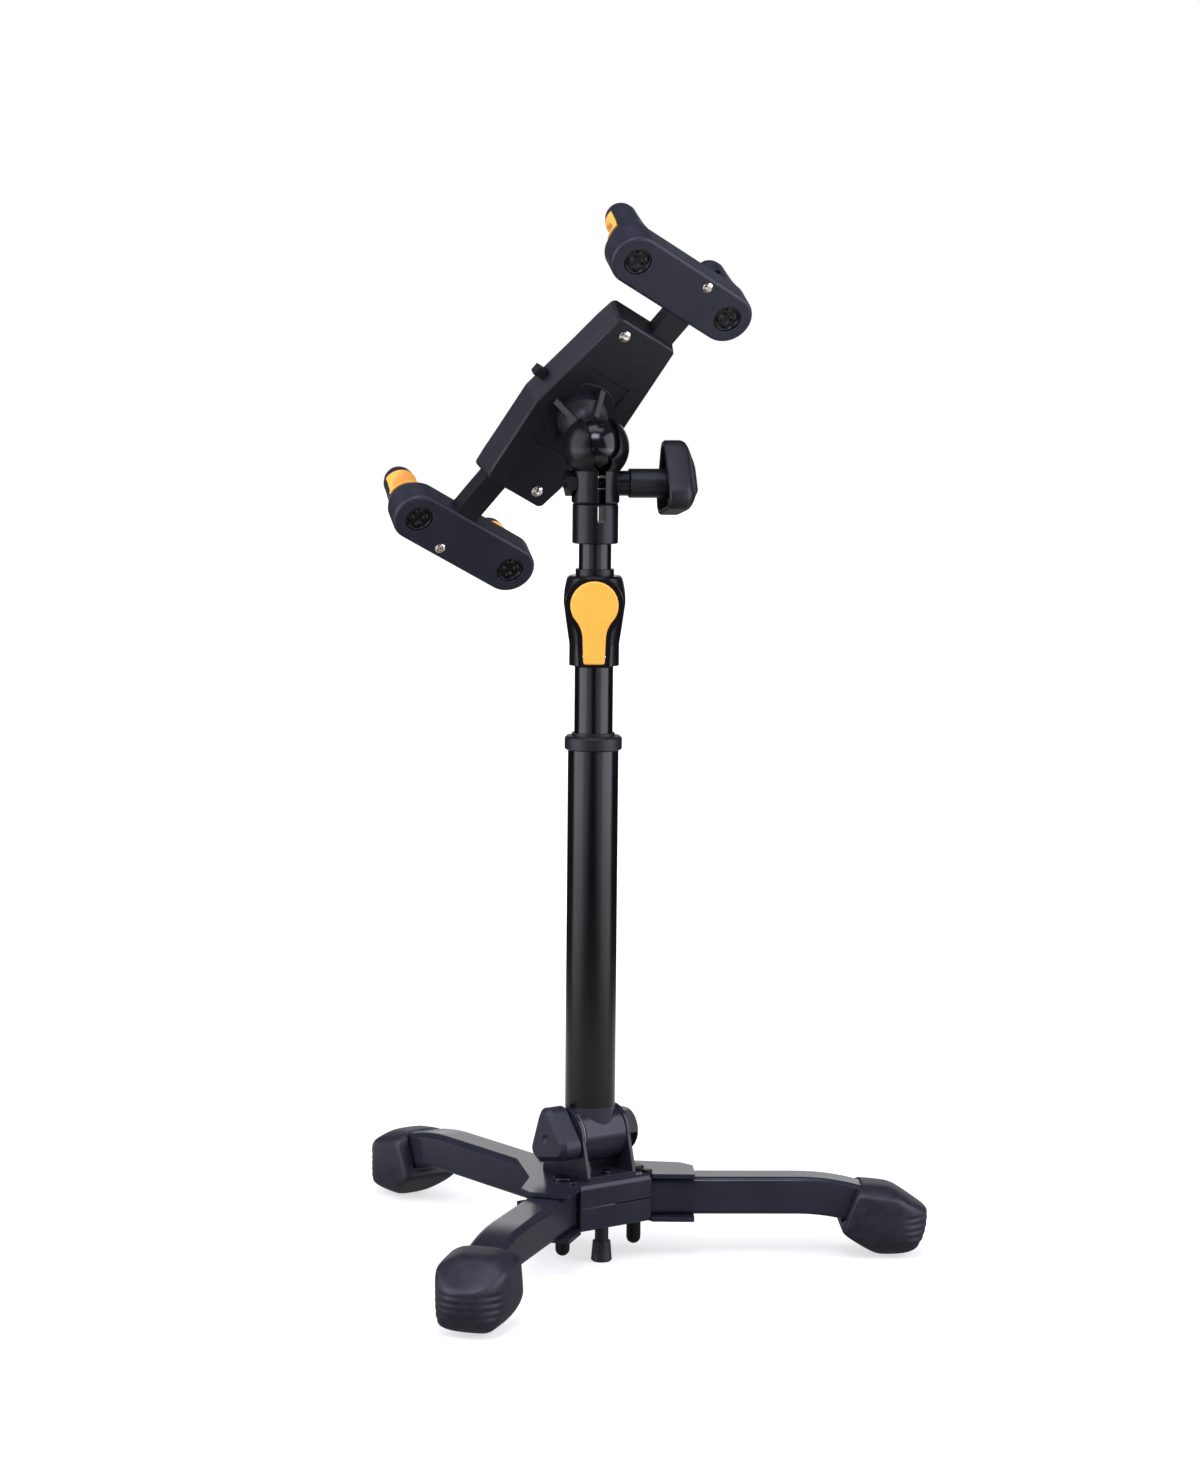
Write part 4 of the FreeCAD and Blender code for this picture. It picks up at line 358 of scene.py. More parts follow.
def new_mesh(name, points, faces, place, sharp=32.0):
    """Object from points in millimetres in one of the stand's frames."""
    mesh = bpy.data.meshes.new(name)
    mesh.from_pydata([place @ (Vector(p) * MM) for p in points], [], faces)
    shade(mesh, sharp)
    made = bpy.data.objects.new(name, mesh)
    bpy.context.scene.collection.objects.link(made)
    return made


def body_holding(node):
    return frame["nodes"][node]["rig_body"]


def finish_piece(piece, slot, *nodes):
    """Gives a piece its finish and lets it stand for nodes of the frame, on their body."""
    piece.data.materials.clear()
    piece.data.materials.append(finish_of(slot))
    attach(piece, body_holding(nodes[0]))
    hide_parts(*nodes)


def loft(rings):
    """Closed skin through rings of equal count, capped at both ends."""
    count = len(rings[0])
    points = [p for ring in rings for p in ring]
    faces = []
    for i in range(len(rings) - 1):
        for j in range(count):
            k = (j + 1) % count
            faces.append((i * count + j, i * count + k, (i + 1) * count + k, (i + 1) * count + j))
    faces.append(tuple(reversed(range(count))))
    faces.append(tuple((len(rings) - 1) * count + j for j in range(count)))
    return points, faces


def joined(parts):
    """One list of points and faces out of several."""
    points, faces = [], []
    for more_points, more_faces in parts:
        start = len(points)
        points.extend(more_points)
        faces.extend(tuple(start + i for i in face) for face in more_faces)
    return points, faces


def round_turns(count):
    return [2 * math.pi * i / count for i in range(count)]


def circle(radius, x, y, count):
    return [(x + radius * math.cos(turn), y + radius * math.sin(turn)) for turn in round_turns(count)]


def at_depth(outline, depth):
    # outline in the holder's plane, laid at a depth towards the tablet
    return [(x, y, -depth) for x, y in outline]


def carve(piece, part, place):
    """Cuts a closed skin out of a piece."""
    tool = new_mesh("cutter", *part, place)
    cut = piece.modifiers.new("cut", "BOOLEAN")
    cut.operation = "DIFFERENCE"
    cut.solver = "EXACT"
    cut.object = tool
    graph = bpy.context.evaluated_depsgraph_get()
    mesh = bpy.data.meshes.new_from_object(piece.evaluated_get(graph))
    if not mesh.polygons:
        raise RuntimeError("nothing is left of %s after its cut" % piece.name)
    piece.modifiers.clear()
    piece.data = mesh
    bpy.data.objects.remove(tool)
    shade(piece.data)


def smooth_step(x, low, high):
    # from 0 to 1 while x goes from low to high
    t = min(max((x - low) / (high - low), 0.0), 1.0)
    return t * t * (3 - 2 * t)


# Nodes that keep their own shape, by finish
SLOTS = {
    "black_coated_steel": ["outer_tube", "inner_tube", "rod"],
    "base_steel": [
        "hub_top_plate", "hub_bottom_plate", "leg_right", "leg_front_left", "leg_rear", "tilt_bracket",
        "mast_knuckle"],
    "blackened_steel": [
        "plate_screws", "pivot_bolts", "cap_nuts", "tilt_bolt", "tilt_nut", "tilt_washers", "clamp_bolt",
        "clamp_nut"],
    "nylon": ["leg_washers", "friction_washers"],
    "black_rubber": ["centre_bumper", "front_pad"],
    "black_plastic": [
        "tube_collar", "guide_bush", "ball_stem", "back_cover", "front_shell",
        "pinion", "release_button", "bar_upper", "bar_lower"],
    # painted light: the arms and the tilt knob take the lighter copy of the black plastic
    "black_plastic_painted_lighter": ["arm_upper", "arm_lower", "tilt_knob"],
    "load_plastic": ["clutch_housing", "clamp_base", "clamp_half_left", "clamp_half_right"],
    "gloss_black_plastic": ["swivel_ball"],
    "bright_steel": ["lever_pin", "clutch_spring", "lock_plate"],
    "yellow_plastic": ["clutch_lever"],
}


class STAND_OT_finishes(bpy.types.Operator):
    """Gives each node of the frame the finish of its material"""
    bl_idname = "stand.finishes"
    bl_label = "Finish the frame's nodes"

    def execute(self, context):
        for slot, nodes in SLOTS.items():
            for node in nodes:
                mesh = frame["nodes"][node].data
                mesh.materials.clear()
                mesh.materials.append(finish_of(slot))
                for polygon in mesh.polygons:
                    polygon.material_index = 0
        return {"FINISHED"}


# Feet, in the frame of a leg: along the leg from its pivot, sideways, and up from the surface

FOOT_SIDE_VIEW = [
    (103.5, 14.0), (113.0, 39.0), (149.7, 39.0), (149.7, 20.0), (148.8, 14.0), (146.5, 9.0), (142.5, 4.5),
    (137.5, 1.2), (133.0, 0.0), (124.0, 0.0)]
FOOT_PLAN_VIEW = [(102.0, 16.0), (116.0, 18.8), (131.0, 18.8), (139.5, 16.0), (146.0, 10.6), (149.7, 4.5)]
FOOT_END_VIEW = [(18.8, 39.0), (18.8, 16.0), (17.2, 9.5), (14.2, 4.8), (10.0, 1.4), (6.0, 0.0)]
FOOT_FACETS = [
    ((109.0, -9.0, 39.0), (130.0, -9.0, 36.5), (109.0, 9.0, 39.0)),
    ((109.0, 9.0, 39.0), (130.0, 9.0, 36.5), (109.0, 18.5, 33.5)),
    ((109.0, -9.0, 39.0), (130.0, -9.0, 36.5), (109.0, -18.5, 33.5)),
    ((130.0, -9.0, 36.5), (146.5, -7.0, 25.5), (146.5, 7.0, 25.5)),
    ((130.0, 9.0, 36.5), (146.5, 7.0, 25.5), (137.0, 18.5, 28.5)),
    ((130.0, -9.0, 36.5), (146.5, -7.0, 25.5), (137.0, -18.5, 28.5)),
]
FOOT_MIDDLE = Vector((126.0, 0.0, 18.0))
FOOT_EDGE_SOFTNESS = 20.0
FOOT_ROWS = 120
FOOT_COLUMNS = 144
RIB_DEPTH = 0.3
RIB_PITCH = 3.3
RIB_VALLEY = 8.0
RIBS_START = (5.5, 7.0)
RIBS_END = (22.0, 23.5)
TOE_START = (133.0, 140.0)

# The mouth follows the bend of the leg: where a ring stands along the leg, and its lean in degrees
MOUTH_RINGS = [(94.0, 6.3), (100.0, 9.4), (106.0, 12.6), (112.0, 15.8)]
MOUTH_HALF_WIDTH = 11.1
MOUTH_CORNER = 3.5
MOUTH_POINTS = 24
LEG_BEND_RADIUS = 110.0
LEG_MID_HEIGHT = 31.4

# Pivot ahead and aside of the mast, and direction in degrees
LEGS = {"right": (7.9, 22.2, 55.0), "front_left": (7.9, -22.2, -55.0), "rear": (-35.0, 0.0, 180.0)}


def foot_walls():
    """Planes round the foot, each as a direction divided by its distance from the foot's middle."""
    planes = []
    views = (
        [(x, 0, z) for x, z in FOOT_SIDE_VIEW],
        [(x, y, 0) for x, y in FOOT_PLAN_VIEW] + [(x, -y, 0) for x, y in reversed(FOOT_PLAN_VIEW)],
        [(0, y, z) for y, z in FOOT_END_VIEW] + [(0, -y, z) for y, z in reversed(FOOT_END_VIEW)])
    for view, across in zip(views, (Vector((0, 1, 0)), Vector((0, 0, 1)), Vector((1, 0, 0)))):
        for i, corner in enumerate(view):
            along = Vector(view[(i + 1) % len(view)]) - Vector(corner)
            planes.append((Vector(corner), along.cross(across), across))
    for a, b, c in FOOT_FACETS:
        planes.append((Vector(a), (Vector(b) - Vector(a)).cross(Vector(c) - Vector(a)), Vector((0, 0, 0))))
    walls = []
    for corner, normal, across in planes:
        normal = normal.normalized()
        out = corner - FOOT_MIDDLE
        gap = normal.dot(out - across * out.dot(across))
        walls.append(normal / gap)
    return walls


def foot_reach(walls, ray):
    """Distance from the foot's middle to its skin along a ray, with the edges between planes softened."""
    total = 0.0
    for wall in walls:
        slope = wall.dot(ray)
        if slope > 0:
            total += slope ** FOOT_EDGE_SOFTNESS
    reach = total ** (-1 / FOOT_EDGE_SOFTNESS)
    spot = FOOT_MIDDLE + ray * reach
    in_band = smooth_step(spot.z, *RIBS_START) * (1 - smooth_step(spot.z, *RIBS_END))
    at_toe = smooth_step(spot.x, *TOE_START)
    valley = 0.5 + 0.5 * math.cos(2 * math.pi * (spot.z - RIB_VALLEY) / RIB_PITCH)
    return reach - RIB_DEPTH * valley * in_band * at_toe


def foot_skin():
    walls = foot_walls()
    rings = []
    for i in range(FOOT_ROWS + 1):
        rise = math.pi * ((i + 0.5) / (FOOT_ROWS + 1) - 0.5)
        ring = []
        for turn in round_turns(FOOT_COLUMNS):
            ray = Vector((math.cos(rise) * math.cos(turn), math.cos(rise) * math.sin(turn), math.sin(rise)))
            ring.append(FOOT_MIDDLE + ray * foot_reach(walls, ray))
        rings.append(ring)
    return loft(rings)


def foot_mouth():
    # the opening that takes the leg, a little wider than the tube all round
    flat = MOUTH_HALF_WIDTH - MOUTH_CORNER
    outline = []
    for turn in round_turns(MOUTH_POINTS):
        # a hair past the turn, so that each point on an axis belongs to one corner
        x = math.copysign(flat, math.cos(turn + 0.01))
        y = math.copysign(flat, math.sin(turn + 0.01))
        outline.append((x + MOUTH_CORNER * math.cos(turn), y + MOUTH_CORNER * math.sin(turn)))
    rings = []
    for along, lean in MOUTH_RINGS:
        drop = LEG_BEND_RADIUS * (1 - math.cos(math.radians(lean)))
        tilt = math.tan(math.radians(lean))
        rings.append([(along + y * tilt, x, LEG_MID_HEIGHT - drop + y) for x, y in outline])
    return loft(rings)


class STAND_OT_feet(bpy.types.Operator):
    """Models the three rubber shoes with their ribbed toes and the openings that take the legs"""
    bl_idname = "stand.feet"
    bl_label = "Feet"

    def execute(self, context):
        skin = foot_skin()
        for name, (x, y, angle) in LEGS.items():
            turn = Matrix.Rotation(math.radians(angle), 4, "Z")
            place = HUB @ Matrix.Translation(Vector((x, y, 0)) * MM) @ turn
            shoe = new_mesh("shoe_" + name, *skin, place)
            carve(shoe, foot_mouth(), place)
            finish_piece(shoe, "black_rubber", "foot_" + name)
        return {"FINISHED"}


# Posts and grips, in the holder's frame; a ring is its depth, its radius and its shift away from the body

# Where the middle of an arm lies along the slide, and which way is away from the body
ARMS = {"upper": (81.0, 1), "lower": (-92.0, -1)}
ARM_HALF_SPACING = 30.3
POST_FLAT = 4.0
POST_FOOT = [
    (46.2, 12.8, 0.0), (47.4, 12.6, 0.1), (49.0, 12.1, 0.5), (51.0, 11.3, 1.1), (53.2, 10.4, 1.7)]
POST_SHANK = [
    (53.2, 10.4, 1.7), (55.0, 9.7, 2.2), (57.0, 9.1, 2.6), (59.4, 8.7, 2.85), (62.6, 8.4, 3.0),
    (66.0, 8.2, 3.0), (70.4, 8.1, 3.0)]
POST_TIP = [
    (70.4, 8.1, 3.0), (72.0, 8.05, 3.0), (75.0, 7.2, 3.0), (76.6, 6.3, 3.0), (77.8, 5.0, 3.0),
    (78.6, 3.4, 3.0), (79.0, 1.4, 3.0)]
GRIP_RINGS = [
    (53.3, 10.5, 1.65), (53.6, 10.9, 1.65), (54.3, 10.8, 1.7), (54.8, 10.4, 1.9), (55.2, 10.1, 2.1),
    (57.0, 9.5, 2.6), (59.3, 9.1, 2.85), (61.5, 8.95, 3.0), (64.0, 8.8, 3.0), (66.5, 8.7, 3.0),
    (69.0, 8.6, 3.0), (70.0, 8.4, 3.0), (70.4, 7.9, 3.0)]
GRIP_LIP_END = 55.0
GROOVE_RADIUS = 8.5
GROOVE_DEPTH = 59.3
GROOVE_FLOOR = 1.5
SLOT_RISE = 41.0
SLOT_MIDDLE = 2.8
SLOT_SECTION = [(5.8, -3.4), (5.8, 3.4), (12.0, 4.2), (12.0, -4.2)]
SLOT_DEPTHS = (58.8, 62.8)


def post_outline(radius, shift, flat, arc=32, rest=24):
    """Round outline, or one cut off flat on the side towards the body."""
    start = math.asin((POST_FLAT - shift) / radius)
    outline = []
    for i in range(arc):
        turn = start + (math.pi - 2 * start) * i / (arc - 1)
        outline.append((radius * math.cos(turn), shift + radius * math.sin(turn)))
    half = radius * math.cos(start)
    for i in range(1, rest + 1):
        t = i / (rest + 1)
        turn = math.pi - start + (math.pi + 2 * start) * t
        if flat:
            outline.append((half * (2 * t - 1), POST_FLAT))
        else:
            outline.append((radius * math.cos(turn), shift + radius * math.sin(turn)))
    return outline


def grip_outline(depth, radius, shift, arc=44, rest=16):
    # half round towards the body, with a groove between its lip and its tip
    start = math.asin((POST_FLAT - shift) / radius)
    from_groove = GROOVE_RADIUS ** 2 - (depth - GROOVE_DEPTH) ** 2
    limit = GROOVE_FLOOR - GROOVE_RADIUS + math.sqrt(max(from_groove, 0.0))
    if depth < GRIP_LIP_END:
        limit = shift - radius
    half = radius * math.cos(start)
    outline = []
    for i in range(arc):
        turn = math.pi - start + (math.pi + 2 * start) * i / (arc - 1)
        outline.append((radius * math.cos(turn), max(shift + radius * math.sin(turn), limit)))
    for i in range(1, rest + 1):
        outline.append((half * (1 - 2 * i / (rest + 1)), POST_FLAT))
    return outline


def on_arm(outline, depth, x, centre, out):
    # outline round a post, with its second axis away from the body
    return [(x + u, centre + out * v, -depth) for u, v in outline]


def post_slot(x, centre, out):
    # shallow slot in the post's side, on the side that faces the other post
    side = -math.copysign(1.0, x)
    turn = math.radians(SLOT_RISE)
    radial = Vector((side * math.cos(turn), math.sin(turn)))
    tangent = Vector((-radial.y, radial.x))
    middle = Vector((0.0, SLOT_MIDDLE))
    outline = [middle + radial * reach + tangent * aside for reach, aside in SLOT_SECTION]
    return loft([on_arm(outline, depth, x, centre, out) for depth in SLOT_DEPTHS])


class STAND_OT_posts(bpy.types.Operator):
    """Models the posts that grow out of the arms and the soft grips they hold"""
    bl_idname = "stand.posts"
    bl_label = "Posts and grips"

    def execute(self, context):
        for name, (centre, out) in ARMS.items():
            for label, x in (("left", -ARM_HALF_SPACING * out), ("right", ARM_HALF_SPACING * out)):
                rings = [
                    on_arm(post_outline(radius, shift, flat), depth, x, centre, out)
                    for rows, flat in ((POST_FOOT, False), (POST_SHANK, True), (POST_TIP, False))
                    for depth, radius, shift in rows]
                column = new_mesh("column_%s_%s" % (name, label), *loft(rings), HOLDER)
                carve(column, post_slot(x, centre, out), HOLDER)
                # painted light: the posts take the lighter copy of the black plastic
                finish_piece(column, "black_plastic_painted_lighter", "post_%s_%s" % (name, label))
                rings = [on_arm(grip_outline(*row), row[0], x, centre, out) for row in GRIP_RINGS]
                saddle = new_mesh("saddle_%s_%s" % (name, label), *loft(rings), HOLDER, 50.0)
                finish_piece(saddle, "yellow_rubber", "grip_%s_%s" % (name, label))
        return {"FINISHED"}


# Screws seen on the rear of the holder

CROSSED_RADIUS = 6.85
CROSSED_HEAD_END = 34.55
CROSSED_FLOOR = 34.3
CROSSED_RIM = 33.35
CROSSED_POINTS = 72
PAD_HEIGHT = 0.9
PAD_REACH = 3.7
PAD_TURNS = [math.radians(33 + 90 * k) for k in range(4)]
POST_SCREW_RADIUS = 2.2
POST_SCREW_END = 50.0


def crossed_depth(reach, turn):
    # four pads stand between the arms of a wide cross, inside a rounded rim
    pad = min(
        math.hypot(reach * math.cos(turn - a) - PAD_REACH, reach * math.sin(turn - a)) for a in PAD_TURNS)
    inside = CROSSED_FLOOR - PAD_HEIGHT * (1 - smooth_step(pad, 1.1, 1.9))
    rim = CROSSED_RIM + 0.5 * smooth_step(reach, CROSSED_RADIUS - 0.5, CROSSED_RADIUS) ** 2
    return inside + (rim - inside) * smooth_step(reach, 5.5, 6.1)


def crossed_screw(x, y, rows=30):
    """Closed skin of a wide crossed head and the shaft under it."""
    rings = []
    for i in range(rows + 1):
        reach = CROSSED_RADIUS * (0.02 + 0.98 * i / rows)
        rings.append([
            (x + reach * math.cos(turn), y + reach * math.sin(turn), -crossed_depth(reach, turn))
            for turn in round_turns(CROSSED_POINTS)])
    for radius, depth in (
            (CROSSED_RADIUS, CROSSED_HEAD_END), (POST_SCREW_RADIUS, CROSSED_HEAD_END),
            (POST_SCREW_RADIUS, POST_SCREW_END)):
        rings.append(at_depth(circle(radius, x, y, CROSSED_POINTS), depth))
    return loft(rings)


class STAND_OT_post_screws(bpy.types.Operator):
    """Models the wide crossed screws that hold the posts"""
    bl_idname = "stand.post_screws"
    bl_label = "Post screws"

    def execute(self, context):
        for name, (centre, _) in ARMS.items():
            parts = [crossed_screw(x, centre) for x in (-ARM_HALF_SPACING, ARM_HALF_SPACING)]
            screws = new_mesh("crossed_screws_" + name, *joined(parts), HOLDER, 40.0)
            finish_piece(screws, "blackened_steel", "post_screws_" + name)
        return {"FINISHED"}


# Depth of the seat, radius of the head and places, by node
BRIGHT_SCREWS = {
    "cover_screws": (30.0, 3.0, [(-10.0, 46.5), (10.0, -46.5)]),
    "arm_screw_upper": (33.0, 2.7, [(9.8, 89.2)]),
    "arm_screw_lower": (33.0, 2.7, [(-9.8, -100.2)]),
}
DOME_RISE = 0.95
DOME_FALL = 0.9
DOME_BEND = 2.6
RECESS_DEPTH = 0.7
BRIGHT_SHAFT_RADIUS = 1.2
BRIGHT_POINTS = 48


def domed_screw(seat, radius, x, y, rows=12):
    """Closed skin of a shallow dome with a small round recess, and the shaft under it."""
    top = seat - DOME_RISE
    rings = []
    for i in range(rows + 1):
        reach = radius * (0.03 + 0.97 * i / rows)
        recess = RECESS_DEPTH * (1 - smooth_step(reach, 0.7, 1.0))
        rings.append((reach, top + DOME_FALL * (reach / radius) ** DOME_BEND + recess))
    rings += [
        (radius, top + DOME_FALL + 0.5), (BRIGHT_SHAFT_RADIUS, seat + 0.5), (BRIGHT_SHAFT_RADIUS, seat + 5.0)]
    return loft([at_depth(circle(reach, x, y, BRIGHT_POINTS), depth) for reach, depth in rings])


class STAND_OT_bright_screws(bpy.types.Operator):
    """Models the small domed bright screws of the cover and the arms"""
    bl_idname = "stand.bright_screws"
    bl_label = "Bright screws"

    def execute(self, context):
        for node, (seat, radius, spots) in BRIGHT_SCREWS.items():
            parts = [domed_screw(seat, radius, *spot) for spot in spots]
            heads = new_mesh("domed_" + node, *joined(parts), HOLDER, 50.0)
            finish_piece(heads, "bright_steel", node)
        return {"FINISHED"}


# Clamp knob, in the clamp's frame: rings along the bolt, round with a radius or lobed with an inset

KNOB_HEIGHT = 388.0
KNOB_TURN = math.radians(172.0)
KNOB_POINTS = 120
LOBE_TIP = 21.3
LOBE_RADIUS = 8.0
LOBE_LEAST_RADIUS = 0.4
KNOB_SLEEVE = [(16.3, 2.6), (16.3, 6.7), (16.8, 7.2), (38.9, 7.2), (39.3, 7.6)]
KNOB_HEAD = [
    (39.3, 3.2), (38.8, 2.7), (34.2, 2.5), (33.5, 2.1), (33.4, 1.5), (33.6, 0.7), (34.4, 0.1), (35.4, 0.0),
    (42.0, 0.0), (43.2, 0.3), (44.2, 0.9), (45.0, 1.8), (45.8, 3.0), (46.8, 5.0), (47.8, 7.4), (48.7, 9.8),
    (49.4, 12.0), (49.8, 13.8), (50.0, 15.6), (50.1, 17.2), (50.15, 18.8)]


def lobed_reach(turn, inset):
    """Distance from the axis to an outline of three lobes with flat sides, drawn in by an inset."""
    third = math.radians(120)
    off = abs((turn + third / 2) % third - third / 2)
    rounding = max(LOBE_RADIUS - inset, LOBE_LEAST_RADIUS)
    centre = max(LOBE_TIP - LOBE_RADIUS - max(inset - LOBE_RADIUS + LOBE_LEAST_RADIUS, 0.0), 0.0)
    bend = math.atan2(rounding * math.sin(third / 2), centre + rounding / 2)
    if off < bend:
        return centre * math.cos(off) + math.sqrt(rounding ** 2 - (centre * math.sin(off)) ** 2)
    return (centre / 2 + rounding) / math.cos(third / 2 - off)


def knob_ring(along, reaches):
    turns = [KNOB_TURN + turn for turn in round_turns(KNOB_POINTS)]
    return [(along, reach * math.sin(turn), -reach * math.cos(turn)) for reach, turn in zip(reaches, turns)]


class STAND_OT_clamp_knob(bpy.types.Operator):
    """Models the clamp's three-lobed knob with its sleeve and its domed face"""
    bl_idname = "stand.clamp_knob"
    bl_label = "Clamp knob"

    def execute(self, context):
        rings = [knob_ring(along, [radius] * KNOB_POINTS) for along, radius in KNOB_SLEEVE]
        for along, inset in KNOB_HEAD:
            rings.append(knob_ring(along, [lobed_reach(turn, inset) for turn in round_turns(KNOB_POINTS)]))
        place = CLAMP @ Matrix.Translation((0, 0, KNOB_HEIGHT * MM))
        knob = new_mesh("lobed_knob", *loft(rings), place, 24.0)
        finish_piece(knob, "black_plastic", "clamp_knob")
        return {"FINISHED"}


# Stage

class StageSizes(bpy.types.PropertyGroup):
    distance: bpy.props.FloatProperty(
        name="Camera distance", description="From the mast, level", default=1.818, unit="LENGTH")
    height: bpy.props.FloatProperty(
        name="Camera height", description="Above the surface", default=0.4712, unit="LENGTH")
    side: bpy.props.FloatProperty(
        name="Camera side", description="To the right of the mast", default=0.0033, unit="LENGTH")
    pitch: bpy.props.FloatProperty(
        name="Pitch", description="Downward look", default=math.radians(6.56), unit="ROTATION")
    roll: bpy.props.FloatProperty(
        name="Roll", description="Lean of the frame", default=math.radians(0.54), unit="ROTATION")
    focal: bpy.props.FloatProperty(
        name="Focal length", description="For a 36 mm long side, in millimetres", default=90.24, min=10.0,
        unit="CAMERA")


def make_camera(stage):
    lens = bpy.data.cameras.new("camera")
    lens.lens = stage.focal
    lens.clip_end = 50.0
    camera = bpy.data.objects.new("camera", lens)
    bpy.context.scene.collection.objects.link(camera)
    look = Vector((0, math.cos(stage.pitch), -math.sin(stage.pitch)))
    level = Vector((1, 0, 0))
    rise = level.cross(look)
    right = math.cos(stage.roll) * level + math.sin(stage.roll) * rise
    top = math.cos(stage.roll) * rise - math.sin(stage.roll) * level
    spot = Vector((MAST_FOOT.x + stage.side, MAST_FOOT.y - stage.distance, stage.height))
    camera.matrix_world = axes_at(spot, right, top, -look)
    bpy.context.scene.camera = camera


# Position, the point that it faces, both sides in metres and power in watts
LAMPS = {
    "lamp_left": ((-1.25, -0.45, 0.6), (0, 0, 0.27), 1.4, 2.0, 24.0),
    "lamp_right": ((1.25, -0.45, 0.6), (0, 0, 0.27), 1.4, 2.0, 24.0),
    "lamp_top": ((0.0, -0.1, 1.9), (0, 0, 0.27), 1.2, 0.8, 7.0),
    "lamp_front": ((-0.1, -1.3, 1.9), (0, 0, 0.4), 0.9, 0.6, 18.0),
}
LAMP_TINT = (0.82, 0.84, 1.0)
TABLE_HALF_SIZE = 8.0
ROOM_GLOW = 0.5
TABLE_GREY = (0.5, 0.5, 0.5, 1)
WHITE = (1, 1, 1, 1)


def soft_lamp(name, spot, target, width, height, power):
    lamp = bpy.data.lights.new(name, "AREA")
    lamp.shape = "RECTANGLE"
    lamp.size = width
    lamp.size_y = height
    lamp.energy = power
    lamp.color = LAMP_TINT
    holder = bpy.data.objects.new(name, lamp)
    bpy.context.scene.collection.objects.link(holder)
    holder.location = spot
    holder.rotation_mode = "QUATERNION"
    holder.rotation_quaternion = (Vector(target) - Vector(spot)).to_track_quat("-Z", "Y")


def maths(material, operation, *sources):
    # result of an operation on one or two numbers
    node = add_node(
        material, "ShaderNodeMath", options={"operation": operation}, links=dict(enumerate(sources)))
    return node.outputs["Value"]


def band(material, source, start, end, low, high):
    # number that goes smoothly from low to high while the source goes from start to end
    span = add_node(
        material, "ShaderNodeMapRange", options={"interpolation_type": "SMOOTHSTEP"},
        values={"From Min": start, "From Max": end, "To Min": low, "To Max": high}, links={"Value": source})
    return span.outputs["Result"]


def by_ray(material, otherwise, in_gloss, to_camera):
    """Strength of a glow for other surfaces, a gloss and the camera, and which rays come from a gloss."""
    path = add_node(material, "ShaderNodeLightPath")
    direct = maths(material, "MAXIMUM", path.outputs["Is Camera Ray"], path.outputs["Is Transmission Ray"])
    glossy = path.outputs["Is Glossy Ray"]
    strength = otherwise
    for factor, value in ((glossy, in_gloss), (direct, to_camera)):
        mix = add_node(material, "ShaderNodeMix", options={"data_type": "FLOAT"}, links={"Factor": factor})
        for name, end in (("A", strength), ("B", value)):
            if isinstance(end, float):
                mix.inputs[name].default_value = end
            else:
                join(material, end, mix.inputs[name])
        strength = mix.outputs["Result"]
    return strength, glossy


def make_world():
    # white sweep behind the stand and a dim room round it, which the black surfaces reflect
    world = bpy.data.worlds.new("studio")
    bpy.context.scene.world = world
    world.use_nodes = True
    world.node_tree.nodes.clear()
    place = add_node(world, "ShaderNodeTexCoord")
    parts = add_node(world, "ShaderNodeSeparateXYZ", links={"Vector": place.outputs["Generated"]})
    sweep = band(world, parts.outputs["Y"], 0.86, 0.97, 0.06, 1.0)
    strength, _ = by_ray(world, ROOM_GLOW, sweep, 1.0)
    background = add_node(
        world, "ShaderNodeBackground", values={"Color": WHITE}, links={"Strength": strength})
    add_node(world, "ShaderNodeOutputWorld", links={"Surface": background.outputs["Background"]})


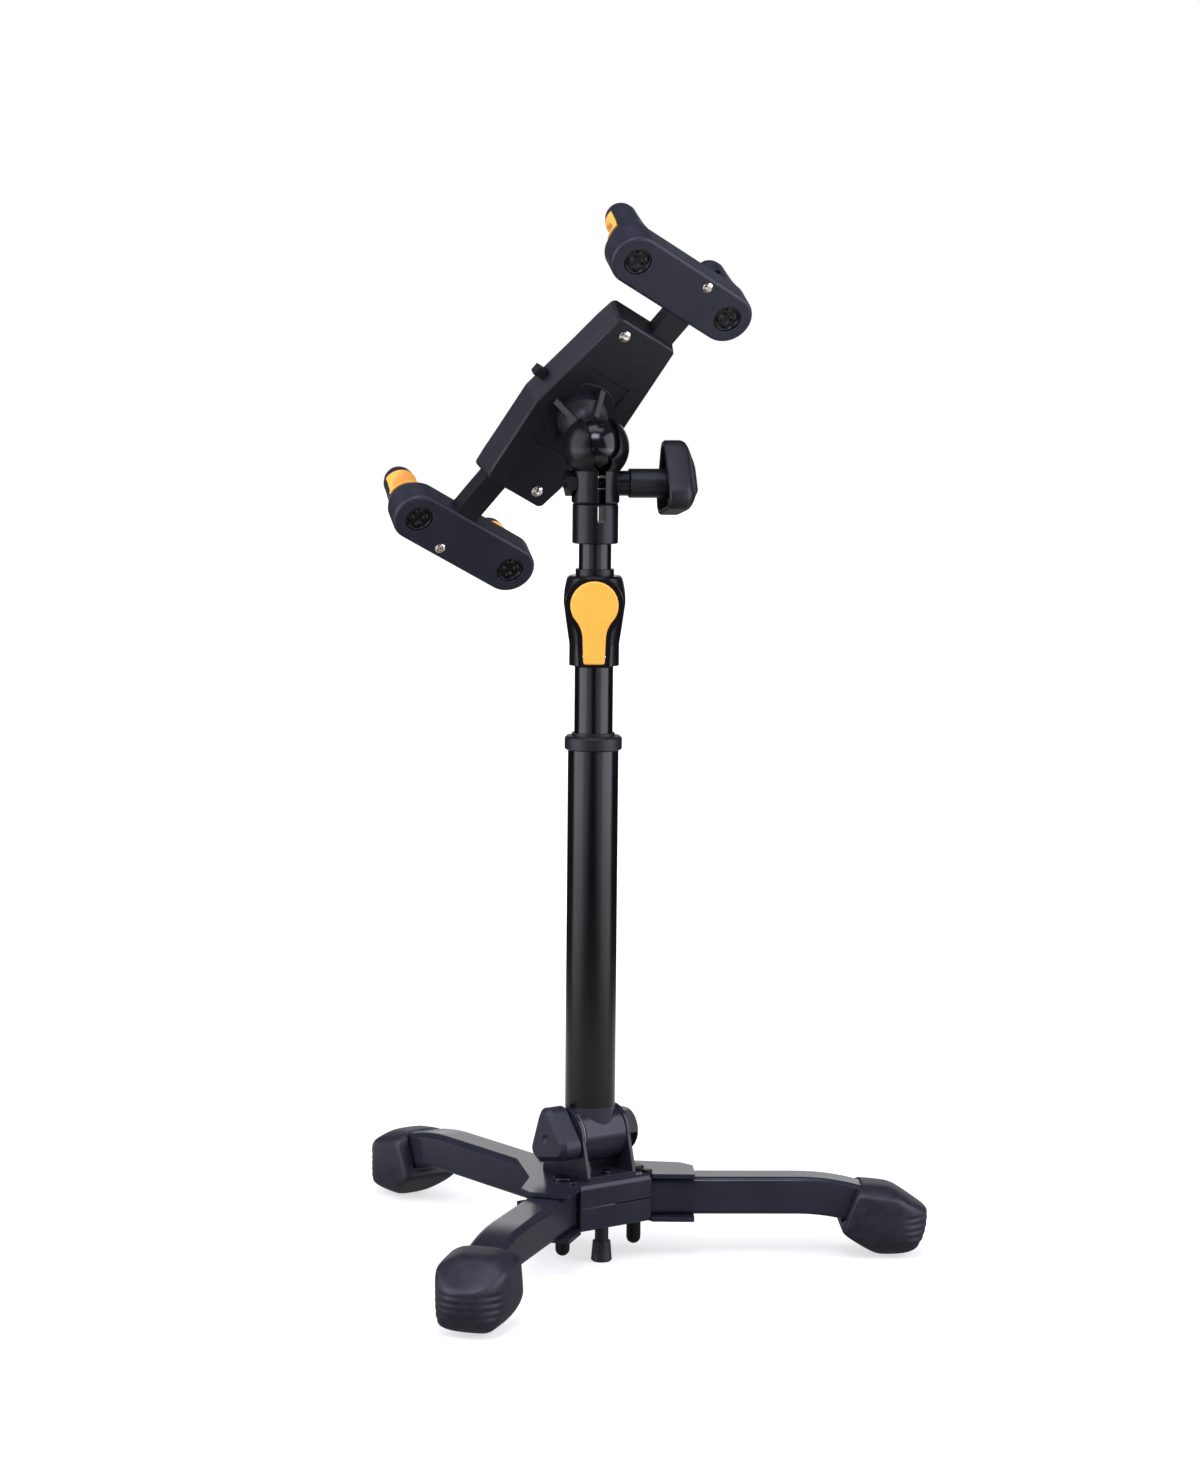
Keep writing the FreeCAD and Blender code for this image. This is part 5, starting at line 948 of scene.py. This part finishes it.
def white_table():
    # Matt white laminate: white to the camera but for the shadow, and in a gloss a lit ring with two wings
    material = bpy.data.materials.new("laminate_matt_white")
    material.use_nodes = True
    material.node_tree.nodes.clear()
    place = add_node(material, "ShaderNodeTexCoord")
    length = add_node(
        material, "ShaderNodeVectorMath", options={"operation": "LENGTH"}, links={0: place.outputs["Object"]})
    away = length.outputs["Value"]
    parts = add_node(material, "ShaderNodeSeparateXYZ", links={"Vector": place.outputs["Object"]})
    aside = maths(material, "ABSOLUTE", parts.outputs["X"])
    ring = maths(
        material, "MULTIPLY", band(material, away, 0.2, 0.4, 0.2, 0.75),
        band(material, away, 0.5, 0.85, 1.0, 0.03))
    wings = maths(
        material, "MULTIPLY", band(material, aside, 0.45, 0.9, 0.0, 1.7),
        band(material, parts.outputs["Y"], -0.1, 0.3, 1.0, 0.0))
    mirrored = maths(material, "MAXIMUM", ring, wings)
    strength, glossy = by_ray(material, 0.0, mirrored, band(material, away, 0.3, 1.2, 0.62, 1.0))
    glow = add_node(
        material, "ShaderNodeEmission", values={"Color": WHITE}, links={"Strength": strength})
    matt = add_node(material, "ShaderNodeBsdfDiffuse", values={"Color": TABLE_GREY})
    both = add_node(
        material, "ShaderNodeAddShader", links={0: glow.outputs["Emission"], 1: matt.outputs["BSDF"]})
    seen = add_node(
        material, "ShaderNodeMixShader",
        links={0: glossy, 1: both.outputs["Shader"], 2: glow.outputs["Emission"]})
    add_node(material, "ShaderNodeOutputMaterial", links={"Surface": seen.outputs["Shader"]})
    return material


class STAND_OT_stage(bpy.types.Operator):
    """Sets the table, the lamps, the room and the camera"""
    bl_idname = "stand.stage"
    bl_label = "Stage"

    def execute(self, context):
        mesh = bpy.data.meshes.new("table_top")
        half = TABLE_HALF_SIZE
        corners = [(-half, -half, 0), (half, -half, 0), (half, half, 0), (-half, half, 0)]
        mesh.from_pydata(corners, [], [(0, 1, 2, 3)])
        mesh.materials.append(white_table())
        floor = bpy.data.objects.new("table_top", mesh)
        context.scene.collection.objects.link(floor)
        make_world()
        for name, lamp in LAMPS.items():
            soft_lamp(name, *lamp)
        make_camera(context.scene.stand_stage)
        context.scene.view_settings.view_transform = "Standard"
        return {"FINISHED"}


class STAND_PT_panel(bpy.types.Panel):
    """Lists the steps that dress the stand"""
    bl_idname = "STAND_PT_panel"
    bl_label = "Tablet stand"
    bl_space_type = "VIEW_3D"
    bl_region_type = "UI"
    bl_category = "Stand"

    def draw(self, context):
        for operator in OPERATORS:
            self.layout.operator(operator.bl_idname)


OPERATORS = (STAND_OT_finishes, STAND_OT_feet, STAND_OT_posts, STAND_OT_post_screws,
             STAND_OT_bright_screws, STAND_OT_clamp_knob, STAND_OT_stage)
CLASSES = (StandColours, StageSizes) + OPERATORS + (STAND_PT_panel,)


def register():
    for cls in CLASSES:
        bpy.utils.register_class(cls)
    bpy.types.Scene.stand_colours = bpy.props.PointerProperty(type=StandColours)
    bpy.types.Scene.stand_stage = bpy.props.PointerProperty(type=StageSizes)


def unregister():
    del bpy.types.Scene.stand_stage
    del bpy.types.Scene.stand_colours
    for cls in reversed(CLASSES):
        bpy.utils.unregister_class(cls)


def run_step(operator):
    # calls an operator by its name, such as stand.stage
    group, name = operator.bl_idname.split(".")
    getattr(getattr(bpy.ops, group), name)()


def main():
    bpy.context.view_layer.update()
    register()
    for operator in OPERATORS:
        run_step(operator)


if __name__ == "__main__":
    main()
